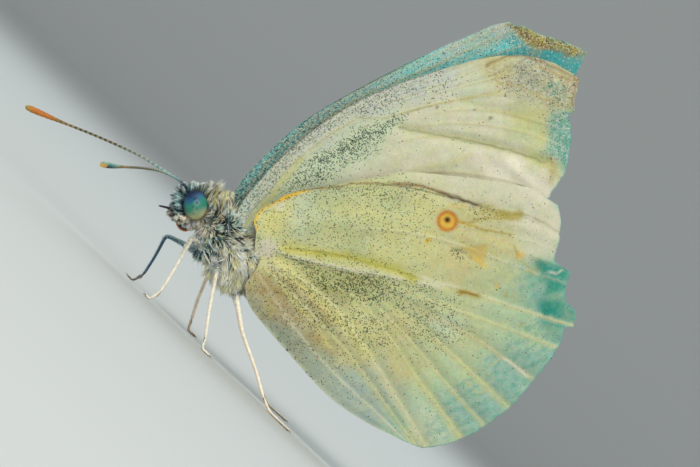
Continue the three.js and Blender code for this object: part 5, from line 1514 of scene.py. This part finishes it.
def grow(name, roots, normals, lies, rises, lengths, girths, tints, clumps=0, pull=0.0, scatter=0.16):
    """Tufts as one mesh: one tapering spike for each root."""
    count = len(roots)
    heading = unit(lies + normals * rises[:, None] + RNG.normal(0, scatter, (count, 3)))
    into = (heading * normals).sum(axis=1)
    heading = unit(heading + normals * np.clip(0.12 - into, 0, None)[:, None])
    tips = roots + heading * lengths[:, None]
    if clumps:
        lean_together(roots, tips, tints, clumps, pull)
    bend = (lies - normals * 0.15) * (lengths * DROOP)[:, None]
    start = roots - normals * ROOT_DEPTH
    steps = TUFT_STEPS[None, :, None]
    across = np.cross(heading, normals)
    size = np.linalg.norm(across, axis=1)
    across = np.where(size[:, None] < 1e-3, [0.0, 1.0, 0.0], across / np.maximum(size, 1e-9)[:, None])
    bend = bend + across * (RNG.normal(0, CURL, count) * lengths)[:, None]
    ways = start[:, None] * (1 - steps) + tips[:, None] * steps + bend[:, None] * (steps - steps**2)
    over = np.cross(across, heading)
    girth = (girths[:, None] * TUFT_GIRTH[None])[:, :, None]
    rings = (ways[:, :4, None] + across[:, None, None] * (np.cos(TUFT_TURN)[None, None, :] * girth)[..., None]
             + over[:, None, None] * (np.sin(TUFT_TURN)[None, None, :] * girth * FLATNESS)[..., None])
    corners = np.concatenate([rings.reshape(count, TUFT_CORNERS - 1, 3), ways[:, 4:5]], axis=1)
    offsets = (np.arange(count) * TUFT_CORNERS)[:, None, None]
    faces = [(TUFT_QUADS[None] + offsets).reshape(-1, 4), (TUFT_TRIS[None] + offsets).reshape(-1, 3)]
    piece = make_piece(name, corners.reshape(-1, 3), faces, FUR_FINISH)
    # Painted shade at the roots and painted light at the tips.
    light = per_corner(TUFT_SHADE_AND_LIGHT)[None, :, None]
    paint(piece, "tint", (tints[:, None] * light).reshape(-1, 3).clip(0, 0.93))
    lay_patches(piece, roots)
    return piece


def per_corner(values):
    """A value for each ring of a tuft and for its tip, given to each of its corners."""
    return np.append(np.repeat(values[:4], 3), values[4])


def lay_patches(piece, roots):
    """Give each tuft its small patch on a map of the body: along it, and round it."""
    low, high = roots[:, 0].min(), roots[:, 0].max()
    axis = np.interp(roots[:, 0], [-3.5, -2.3, 0, 3, 11], [0.9, 0.65, 0.4, 0, 0.4])
    round_body = np.arctan2(roots[:, 1], roots[:, 2] - axis) / (2 * np.pi) + 0.5
    u = 0.01 + 0.97 * (roots[:, 0] - low) / max(high - low, 1e-6)
    v = 0.01 + 0.97 * round_body
    along_tuft = per_corner(TUFT_STEPS) * PATCH
    round_tuft = np.append(np.tile([0.0, 0.5, 1.0], 4), 0.5) * PATCH
    spots = np.stack([u[:, None] + round_tuft, v[:, None] + along_tuft], axis=-1).reshape(-1, 2)
    layer = piece.data.uv_layers.new(name="OFBake")
    owners = np.empty(len(piece.data.loops), dtype=np.int32)
    piece.data.loops.foreach_get("vertex_index", owners)
    layer.data.foreach_set("uv", spots[owners].astype(np.float32).ravel())


FUR_FINISH, fur_shader = new_finish("fur", 0.5, sheen=0.08, specular=0.22)
join(FUR_FINISH, clouded_tint(FUR_FINISH, 5000.0, 3.0, 0.5, 0.75)[1], fur_shader.inputs["Base Color"])
print("a tuft has", TUFT_CORNERS, "corners and", 2 * len(TUFT_QUADS) + len(TUFT_TRIS), "triangles")

# %% Draw the coat's tints, lies and lengths from its regions
NECK_AT = -2.3
EYE_ROOM = (0.74, 0.62, 0.93)


def coat_values(places, layer):
    """What the regions say at each place: tints, lies, rises and lengths."""
    shares = region_shares(places)
    total = shares.cumsum(axis=1)
    drawn = (RNG.random(len(places))[:, None] > total).sum(axis=1).clip(0, len(COAT_REGIONS) - 1)
    dips = RNG.random(len(places))
    palettes = region_paints(layer)
    tints = tones(palettes[r][int(dip * len(palettes[r]))] for r, dip in zip(drawn, dips))
    tints = tints * RNG.uniform(0.75, 1.15, (len(places), 1))
    return tints, unit(shares @ REGION_LIES), shares @ REGION_RISES, shares @ REGION_LENGTHS


def coat(name, count, keep, layer=LONG_FUR, girth=0.03, stretch=1.0, clumps=0, pull=0.45, scatter=0.16,
         paints=None):
    """Tufts drawn at random where keep allows them, each after the regions it stands in."""
    places, normals = BODY_GROUND.roots(count, keep)
    tints, lies, rises, lengths = coat_values(places, layer)
    if paints:
        tints = tones(paints)[RNG.integers(0, len(paints), count)]
    lengths = lengths * RNG.uniform(0.6, 1.2, count) * stretch
    girths = girth * RNG.uniform(0.7, 1.25, count)
    return grow(name, places, normals, lies, rises, lengths, girths, tints, clumps, pull,
                scatter=scatter)


def free_of_eyes(places):
    """False inside the eyes, so that no tuft grows through them."""
    gap = places - on_head([[0, 0, 0]])
    c, s = math.cos(FACE_TIP), math.sin(FACE_TIP)
    x, z = c * gap[:, 0] + s * gap[:, 2], -s * gap[:, 0] + c * gap[:, 2]
    y = np.abs(places[:, 1]) - EYE_OUT
    return (x / EYE_ROOM[0]) ** 2 + (y / EYE_ROOM[1]) ** 2 + (z / EYE_ROOM[2]) ** 2 > 1


def on_the_head(places, normals):
    return ((places[:, 0] < NECK_AT) & free_of_eyes(places)).astype(float)


def on_the_thorax(places, normals):
    return ((places[:, 0] >= NECK_AT) & (places[:, 0] < 3.0)).astype(float)


def on_the_abdomen(places, normals):
    return (places[:, 0] >= 2.8).astype(float)


def on_the_flank(places, normals):
    middle = np.exp(-((places[:, 0] - 0.9) ** 2 + (places[:, 2] + 0.1) ** 2) / 1.3)
    return middle * (np.abs(places[:, 1]) > 0.5)


def on_the_collar(places, normals):
    return ((places[:, 0] < -1.35) & (places[:, 0] > -2.9)) * fade(1.0, 1.7, places[:, 2])


BODY_GROUND = Ground(SKIN, SKIN_FACES)
print("skin that fur can grow on:", len(BODY_GROUND.area), "triangles")

# %% Grow the eight coats
coats = [
    coat("head_underfur", 4500, on_the_head, UNDERFUR, girth=0.022, stretch=0.5, scatter=0.25),
    coat("head_fur", 3800, on_the_head, girth=0.034, clumps=260, pull=0.65, stretch=0.95,
         scatter=0.28),
    coat("thorax_underfur", 7500, on_the_thorax, UNDERFUR, girth=0.03, stretch=0.5, scatter=0.3),
    coat("thorax_fur", 8000, on_the_thorax, girth=0.036, clumps=600, pull=0.5, stretch=0.95,
         scatter=0.34),
    coat("collar_fur", 4200, on_the_collar, girth=0.034, clumps=260, pull=0.5, stretch=1.2),
    coat("flank_fur", 3200, on_the_flank, girth=0.036, clumps=110, pull=0.6, stretch=1.75,
         scatter=0.26, paints=["milk", "peach", "milk", "peach", "hay", "milk"]),
    coat("stray_hairs", 1500, on_the_thorax, girth=0.042, stretch=1.1, scatter=0.4,
         paints=["milk", "ice", "milk", "hay", "ice"]),
    coat("abdomen_scales", 8900, on_the_abdomen, girth=0.035),
]
print("tufts:", sum(len(piece.data.vertices) // TUFT_CORNERS for piece in coats))

# %% [markdown]
# ## Eyes
#
# A butterfly's eye is thousands of tiny lenses in a hexagonal net, over pigment that shades from
# dark above to pale below. A dark false pupil seems to float in it. The dome is a fine ball,
# the net is bump made of small cells, and the shading is painted by height across the eye.

# %% Build the eyes
EYE_RADII = (0.79, 0.62, 0.98)
EYE_LOW = 0.1
EYE_SIDES = 72
PAINTS.update(
    eye_top=(14, 36, 74), eye_blue=(34, 94, 128), eye_middle=(48, 130, 110), eye_low=(172, 174, 126),
    pupil=(6, 20, 36),
)
# The false pupil and the small dark spots round it: x, z, size and strength.
EYE_PUPIL = (0.12, 0.17)
EYE_SPOTS = [
    (*EYE_PUPIL, 0.1, 1.0), (0.08, 0.5, 0.08, 0.65), (-0.1, 0.42, 0.09, 0.65), (-0.2, -0.1, 0.06, 0.65),
    (0.1, -0.25, 0.07, 0.65), (-0.15, -0.55, 0.06, 0.65), (-0.3, 0.25, 0.06, 0.65),
]


def eye_finish():
    material, shader = new_finish("eye lenses", 0.36, specular=0.25)
    shader.inputs["Coat Weight"].default_value = 0.12
    shader.inputs["Coat Roughness"].default_value = 0.12
    raise_cells(material, shader, (3500.0, 4.0, 0.5, 0.75), 26000.0, 0.12, 0.5, 0.00003, randomness=0.25)
    return material


EYE_FINISH = eye_finish()


def build_eye(node, side):
    corners, quads, caps = ball_shell([0, 0, 0], [1, 1, 1], EYE_SIDES)
    local = corners * EYE_RADII + [0, side * EYE_OUT, -EYE_LOW]
    piece = make_piece(node + "_lens", on_head(local), [quads, caps], EYE_FINISH, [node])
    x, z = corners[:, 0], corners[:, 2]
    height = z - 0.28 * x + 0.08 * waves(x, z, 61, 0.8)
    tint = np.tile(tone("eye_low"), (len(corners), 1))
    for paint_name, low, high in [("eye_middle", -0.85, -0.1), ("eye_blue", 0.1, 0.4),
                                  ("eye_top", 0.4, 0.85)]:
        tinge(tint, fade(low, high, height), paint_name)
    halo = bell(np.hypot(x - EYE_PUPIL[0], z - EYE_PUPIL[1]), 0.2, 4)
    tinge(tint, halo, "ice", 0.3)
    for spot_x, spot_z, size, strength in EYE_SPOTS:
        spot = np.exp(-(((x - spot_x) ** 2 + (z - spot_z) ** 2) / size**2) ** 1.5)
        tinge(tint, spot, "pupil", strength)
    rim = fade(0.84, 0.98, np.hypot(x, z))
    tinge(tint, rim, "ink", 0.4)
    tinge(tint, rim * fade(0.0, 0.6, -z), "brown", 0.8)
    paint(piece, "tint", tint)
    return piece


eyes = [build_eye("eye_left", -1), build_eye("eye_right", 1)]
print("eyes:", len(eyes))

# %% [markdown]
# ## Feelers, legs, palps and tongue
#
# These are all jointed tubes of horn-like skin. Straight cylinders would look like wire. What makes
# them real is the rhythm of their joints, so each is a tube whose thickness swells and pinches
# along its length, with bands and small scales in its finish.

# %% One finish for all jointed parts
def horn_finish(name, roughness, pace, share):
    material, shader = new_finish(name, roughness, sheen=0.1, specular=0.45)
    raise_cells(material, shader, (4000.0, 4.0, 0.7, 0.65), pace, share, 0.5, 0.00003)
    return material


SCALY = horn_finish("small scales", 0.5, 16000.0, 0.3)
SMOOTH_HORN = horn_finish("smooth horn", 0.3, 22000.0, 0.1)


def tint_ramp(values, stops):
    """Colours between named paints: stops are (value, paint name)."""
    at_values, paint_names = zip(*stops)
    return np.column_stack([np.interp(values, at_values, light) for light in tones(paint_names).T])


def per_ring(values, sides):
    """A value for each ring of a tube, given to each corner of it; the two ends get 0 and 1."""
    return np.concatenate([np.repeat(values, sides), [0, 1]])


def upper_side(rings, sides, ends):
    """How far up on its tube each corner sits, from -1 to 1; the corners after the rings get 0."""
    turn = np.linspace(0, 2 * np.pi, sides, endpoint=False)
    return np.concatenate([np.tile(np.sin(turn), rings), np.zeros(ends)])


print("horn finishes:", SCALY.name, "and", SMOOTH_HORN.name)

# %% Build the feelers
FEELER_JOINTS, STEPS_EACH_JOINT, FEELER_SIDES = 36, 8, 20
CLUB_FROM = 0.8
SHAFT_RADIUS, CLUB_RADII = 0.085, (0.17, 0.21)
RIGHT_FEELER = [(-3.9, 0.38, 0.9), (-4.45, 0.45, 1.22), (-5.2, 0.55, 1.28), (-6.6, 0.75, 1.0),
                (-8.1, 0.95, 0.7), (-10.8, 1.3, -0.2), (-13.4, 1.7, -1.2), (-15.75, 2.02, -2.05)]
LEFT_FEELER = [(-3.9, -0.38, 0.9), (-4.45, -0.5, 1.22), (-5.2, -1.2, 1.28), (-5.9, -2.4, 1.1),
               (-6.5, -3.6, 0.85), (-7.3, -5.3, 0.3), (-8.0, -6.8, -0.3), (-8.6, -8.1, -0.8),
               (-9.2, -9.2, -1.2)]
SHAFT_TINTS = [(0, "ink"), (0.1, "ink"), (0.2, "fog"), (0.36, "smoke"), (0.5, "dark"), (0.7, "dark"),
               (0.8, "tan")]
BEAD_TINTS = [(0, "lilac"), (0.3, "lilac"), (0.55, "sand"), (1, "sand")]
CLUB_TINTS = dict(
    antenna_right=[(0.86, "copper"), (0.95, "copper"), (1, "bronze")],
    antenna_left=[(0.85, "smoke"), (0.9, "navy"), (0.945, "ink"), (0.96, "amber"), (1, "amber")],
)


def build_feeler(node, way):
    """A beaded shaft that swells into a blunt club."""
    count = FEELER_JOINTS * STEPS_EACH_JOINT
    path = smooth_way(way, count)
    t = np.linspace(0, 1, count)
    swell = fade(CLUB_FROM - 0.06, CLUB_FROM + 0.16, t)
    close = np.sqrt(np.clip(1 - (np.clip(t - 0.965, 0, None) / 0.0355) ** 2, 0.003, 1))
    beat = (t * FEELER_JOINTS) % 1
    pinch = 1 - 0.22 * bell(np.minimum(beat, 1 - beat), 0.12) * (1 - 0.6 * swell)
    root = 1 + 0.9 * bell(t, 0.05)
    side, up = ((SHAFT_RADIUS + (r - SHAFT_RADIUS) * swell) * close * pinch * root for r in CLUB_RADII)
    corners, quads, caps = tube_shell(path, np.column_stack([side, up]), FEELER_SIDES)
    piece = make_piece(node + "_shaft", corners, [quads, caps], SCALY, [node])
    ring = per_ring(t, FEELER_SIDES)
    beat = (ring * FEELER_JOINTS) % 1
    tint = tint_ramp(ring, SHAFT_TINTS + CLUB_TINTS[node])
    over = upper_side(count, FEELER_SIDES, 2)
    bead = bell(beat - 0.25, 0.2) * (0.78 - 0.22 * over)
    bead *= (1 - fade(CLUB_FROM - 0.05, CLUB_FROM + 0.05, ring)) * fade(0.06, 0.14, ring)
    tinge(tint, bead, tint_ramp(ring, BEAD_TINTS), 0.75)
    tinge(tint, np.exp(-((ring - CLUB_FROM) ** 2) / 0.03**2), "dark", 0.4)
    # Painted highlight: a teal sheen along the upper side of the left club.
    if node == "antenna_left":
        tinge(tint, fade(0.1, 0.8, over) * fade(CLUB_FROM, CLUB_FROM + 0.05, ring), "teal", 0.75)
    paint(piece, "tint", tint)
    return piece


feelers = [build_feeler("antenna_right", RIGHT_FEELER), build_feeler("antenna_left", LEFT_FEELER)]
print("feelers:", len(feelers), "with", FEELER_JOINTS, "joints each")

# %% Build the legs
TARSUS_RADIUS = 0.1
TOE_HEIGHT = FLOOR_Z + TARSUS_RADIUS
# Each leg: hip, knee, shin, ankle and toe; its main paint; and a pale paint, used both for its pale scales
# and as painted highlight along its upper side.
LEGS = dict(
    leg_front_left=([(-1.1, -0.9, -0.9), (-2.05, -1.9, -0.75), (-1.45, -2.1, -3.2), (-1.15, -2.2, -4.7),
                     (-1.7, -2.4)], "peach", "milk"),
    # Painted shade: the far foreleg gets night in place of the near legs' peach, with ice as its highlight.
    leg_front_right=([(-0.8, 0.8, -1.1), (-3.45, 1.7, -1.9), (-3.05, 1.95, -3.4), (-2.8, 2.2, -4.8),
                      (-3.5, 2.6)], "night", "ice"),
    leg_mid_left=([(0.4, -1.0, -1.1), (0.7, -2.5, -1.5), (1.9, -3.1, -3.4), (2.9, -3.5, -4.8), (3.9, -3.9)],
                  "peach", "milk"),
    leg_mid_right=([(0.4, 1.0, -1.1), (0.1, 2.7, -1.6), (0.8, 3.5, -3.5), (1.4, 4.0, -4.8), (2.3, 4.5)],
                   "peach", "milk"),
    leg_hind_left=([(1.7, -0.8, -1.0), (4.4, -1.9, -3.05), (6.7, -3.2, -4.2), (8.2, -4.0, -5.1),
                    (10.8, -5.2)], "peach", "milk"),
    leg_hind_right=([(1.7, 0.8, -1.0), (4.2, 2.0, -3.05), (6.4, 3.4, -4.2), (7.9, 4.3, -5.1), (10.4, 5.6)],
                    "peach", "milk"),
)
TARSUS_JOINTS = 5
LEG_RINGS, LEG_SIDES = 260, 16
THIGH_RADII, SHIN_RADII = (0.19, 0.13), (0.115, 0.1)


def leg_way(places):
    """Hip, knee, shin and ankle as a bent path that comes down flat on the floor."""
    hip, knee, shin, ankle, toe = places
    toe = np.array([*toe, TOE_HEIGHT])
    ankle = np.array(ankle)
    heel = ankle + (toe - ankle) * 0.35
    heel[2] = TOE_HEIGHT
    bends = [np.array(hip), np.array(knee), np.array(shin), ankle, heel, toe]
    path = [bends[0]]
    for before, here, after in zip(bends[:-2], bends[1:-1], bends[2:]):
        inward = here + (before - here) * min(0.22, 0.3 / np.linalg.norm(before - here))
        outward = here + (after - here) * min(0.22, 0.3 / np.linalg.norm(after - here))
        path += [inward, (inward + outward) / 4 + here / 2, outward]
    return np.array(path + [bends[-1]])


def thorn(places, thick, thin):
    """A small curved spike, for claws and spurs."""
    return tube_shell(smooth_way(places, 10), np.linspace(thick, thin, 10), 8)


def build_leg(node, places, main, light):
    """One leg with its joints, spurs and claws; returns what its scales need."""
    way = leg_way(places)
    fine = np.vstack([way[0] + (way[1] - way[0]) * s for s in np.linspace(0, 1, 3)[:-1]] + [way[1:]])
    path = along(fine, np.linspace(0, 1, LEG_RINGS))
    run = distance_run(path)
    knee, shin, ankle = [run[np.linalg.norm(path - np.array(p), axis=1).argmin()] for p in places[1:4]]
    radius = np.interp(
        run, [0, knee * 0.5, knee, knee + 0.3, shin, ankle, run[-1]],
        [THIGH_RADII[0], THIGH_RADII[0] * 0.9, THIGH_RADII[1], *SHIN_RADII, TARSUS_RADIUS,
         TARSUS_RADIUS * 0.8])
    for mark in (knee, ankle):
        radius *= 1 - 0.25 * bell(run - mark, 0.08)
    foot = np.clip((run - ankle) / (run[-1] - ankle), 0, 1)
    beat = (foot * TARSUS_JOINTS) % 1
    radius *= np.where(run > ankle, 0.8 + 0.28 * beat, 1)
    radius[-1] *= 0.3
    corners, quads, caps = tube_shell(path, radius, LEG_SIDES)
    shells = [(corners, quads, caps)]
    onward = (path[-1] - path[-12]) / np.linalg.norm(path[-1] - path[-12])
    for side in (-1, 1):
        aside = np.cross(onward, [0, 0, 1]) * side
        bent = path[-1] + onward * 0.1 + aside * 0.09
        tip = path[-1] + onward * 0.17 + aside * 0.12 - [0, 0, 0.07]
        shells.append(thorn([path[-3], bent, tip], 0.045, 0.008))
    ankle_ring = np.abs(run - ankle).argmin()
    spur_at = path[ankle_ring]
    down = path[ankle_ring + 6] - spur_at
    down /= np.linalg.norm(down)
    for side in (-1, 1):
        aside = np.cross(down, [0, 0, 1])
        aside = aside / max(np.linalg.norm(aside), 1e-6) * side
        spur = [spur_at, spur_at + down * 0.2 + aside * 0.12, spur_at + down * 0.42 + aside * 0.16]
        shells.append(thorn(spur, 0.05, 0.01))
    all_corners, groups = pile(shells)
    all_corners[:, 2] = np.maximum(all_corners[:, 2], FLOOR_Z + 0.002)
    piece = make_piece(node + "_limb", all_corners, groups, SCALY, [node])
    share = np.concatenate([per_ring(run / run[-1], LEG_SIDES), np.ones(len(all_corners) - len(corners))])
    top = upper_side(LEG_RINGS, LEG_SIDES, len(all_corners) - LEG_RINGS * LEG_SIDES)
    tint = tint_ramp(share, [(0, light), (0.3, main), (0.75, main), (1, "brown")])
    # Painted highlight: the upper side of each leg is drawn towards its pale paint.
    tinge(tint, fade(-0.2, 0.7, top), light, 0.85)
    paint(piece, "tint", tint)
    return Ground(corners, quads), tint_ramp(np.array([0.5]), [(0, main), (1, light)])[0]


legs = {node: build_leg(node, *values) for node, values in LEGS.items()}
print("legs:", len(legs))

# %% Short scales on the legs
LEG_TUFTS = 1300
HIP_TINTS = tones(["fog", "ice", "milk", "milk", "night", "lilac"])


def mostly_on_the_thigh(places, normals):
    return 1.0 + 3.0 * (places[:, 2] > -2.2)


def leg_tufts(node, ground, tint):
    """Roots, normals, lies, tints and lengths of one leg's scales; those near the hip are fur."""
    places, outward = ground.roots(LEG_TUFTS, mostly_on_the_thigh)
    away = places - np.array(LEGS[node][0][0])
    lie = away / np.maximum(np.linalg.norm(away, axis=1), 0.2)[:, None]
    near_hip = 1 - fade(0.5, 1.8, np.linalg.norm(away, axis=1))
    furry = HIP_TINTS[RNG.integers(0, len(HIP_TINTS), LEG_TUFTS)]
    own = tint * RNG.uniform(0.55, 1.5, (LEG_TUFTS, 1))
    own = np.where(RNG.random((LEG_TUFTS, 1)) < 0.3, tone(LEGS[node][2]), own)
    tints = np.where((RNG.random(LEG_TUFTS) < near_hip)[:, None], furry, own)
    lengths = (0.11 + 0.3 * near_hip) * RNG.uniform(0.6, 1.2, LEG_TUFTS)
    return places, outward, lie * 0.9 + [0, 0, -0.3], tints, lengths


by_leg = [leg_tufts(node, ground, tint) for node, (ground, tint) in legs.items()]
roots, normals, lies, tints, lengths = (np.concatenate(part) for part in zip(*by_leg))
high_enough = roots[:, 2] > FLOOR_Z + 0.12
roots, normals, lies, tints, lengths = (part[high_enough] for part in (roots, normals, lies, tints, lengths))
rises, girths = np.full(len(roots), 0.3), np.full(len(roots), 0.018)
grow("leg_scales", roots, normals, lies, rises, lengths, girths, tints.clip(0, 1))
print("leg scales:", len(roots))

# %% Build the palps and their bristles
PALP_RINGS, PALP_SIDES = 90, 18
PALP_TUFTS = 900
PALP_BARE_FROM = -4.32
PALP_WAY = [(-0.4, 0.45, -0.8), (-0.77, 0.64, -0.96), (-1.09, 0.64, -0.84), (-1.36, 0.58, -0.56),
            (-1.55, 0.52, -0.32), (-1.92, 0.48, -0.21), (-2.4, 0.44, -0.1)]
PALP_TINTS = [(0, "peach"), (0.3, "milk"), (0.48, "fog"), (0.58, "ink"), (1, "ink")]


def build_palp(node, side):
    """One palp; returns the ground its bristles grow on."""
    path = smooth_way(on_head([(x, side * y, z) for x, y, z in PALP_WAY]), PALP_RINGS)
    t = np.linspace(0, 1, PALP_RINGS)
    radius = np.interp(t, [0, 0.12, 0.4, 0.52, 0.6, 0.68, 0.95, 1],
                       [0.08, 0.15, 0.16, 0.14, 0.11, 0.09, 0.06, 0.01])
    corners, quads, caps = tube_shell(path, radius, PALP_SIDES)
    piece = make_piece(node + "_limb", corners, [quads, caps], SCALY, [node])
    paint(piece, "tint", tint_ramp(per_ring(t, PALP_SIDES), PALP_TINTS))
    return Ground(corners, quads)


def behind_the_tip(places, normals):
    return (places[:, 0] > PALP_BARE_FROM).astype(float)


palp_grounds = [build_palp("palp_left", -1).roots(PALP_TUFTS, behind_the_tip)]
palp_grounds += [build_palp("palp_right", 1).roots(PALP_TUFTS, behind_the_tip)]
palp_roots, palp_normals = (np.concatenate(part) for part in zip(*palp_grounds))
bristles = len(palp_roots)
ahead = 1 - fade(-4.1, -3.3, palp_roots[:, 0])
bristle_lies = np.tile(leaning(-0.85, -0.25), (bristles, 1)) + (1 - ahead)[:, None] * leaning(0.5, -0.3)
picks = np.where(RNG.random(bristles) < 0.15 + 0.5 * ahead, 0, np.where(RNG.random(bristles) < 0.6, 1, 2))
bristle_tints = tones(["ink", "milk", "peach"])[picks]
bristle_lengths = 0.14 + 0.46 * RNG.random(bristles) * (0.4 + 0.6 * ahead)
grow("palp_bristles", palp_roots, palp_normals, bristle_lies, np.full(bristles, 0.6), bristle_lengths,
     np.full(bristles, 0.024), bristle_tints, clumps=130, pull=0.5)
print("palp bristles:", bristles)

# %% Build the coiled tongue
COIL_MIDDLE = (-0.8, -1.36)
COIL_TILT, COIL_SQUASH = math.radians(-38), 0.68
COIL_START, COIL_TURNS = math.radians(65), 2.6
COIL_RADII = (0.5, 0.17)
TONGUE_RADII = (0.075, 0.04)
COIL_RINGS, STEM_RINGS, TONGUE_SIDES = 220, 14, 14
TONGUE_TINTS = [(0, "rust"), (0.42, "orange"), (0.5, "ink"), (1, "ink")]


def build_tongue():
    """A flattened tube that leaves the mouth by a short stem and winds inwards."""
    t = np.linspace(0, 1, COIL_RINGS)
    turn = COIL_START + t * COIL_TURNS * 2 * np.pi
    reach = COIL_RADII[0] + (COIL_RADII[1] - COIL_RADII[0]) * t
    right, up = reach * np.cos(turn - COIL_TILT), reach * np.sin(turn - COIL_TILT) * COIL_SQUASH
    coil = np.column_stack([COIL_MIDDLE[0] + right * math.cos(COIL_TILT) - up * math.sin(COIL_TILT), 0 * t,
                            COIL_MIDDLE[1] + right * math.sin(COIL_TILT) + up * math.cos(COIL_TILT)])
    stem = smooth_way([(-0.4, 0, -0.6), (-0.38, 0, -0.75), coil[0]], STEM_RINGS)[:-1]
    path = on_head(np.vstack([stem, coil]))
    radius = np.linspace(TONGUE_RADII[0], TONGUE_RADII[1], len(path))
    radius[-3:] *= [0.9, 0.7, 0.35]
    beat = 1 + 0.06 * np.sin(np.arange(len(path)) * 1.3)
    radii = np.column_stack([radius, radius * 1.7]) * beat[:, None]
    corners, quads, caps = tube_shell(path, radii, TONGUE_SIDES, up=(0, 1, 0))
    piece = make_piece("proboscis_coil", corners, [quads, caps], SMOOTH_HORN, ["proboscis"])
    paint(piece, "tint", tint_ramp(per_ring(np.linspace(0, 1, len(path)), TONGUE_SIDES), TONGUE_TINTS))


build_tongue()
print("tongue turns:", COIL_TURNS)

# %% Close the scene
def write_sizes():
    """Put the solids' box and the dressed animal's box side by side, in a dictionary that is not kept."""
    plain = lambda box: [[float(v) for v in corner] for corner in box]
    {"cad": plain(CAD_BOX), "visual": plain(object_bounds())}


write_sizes()
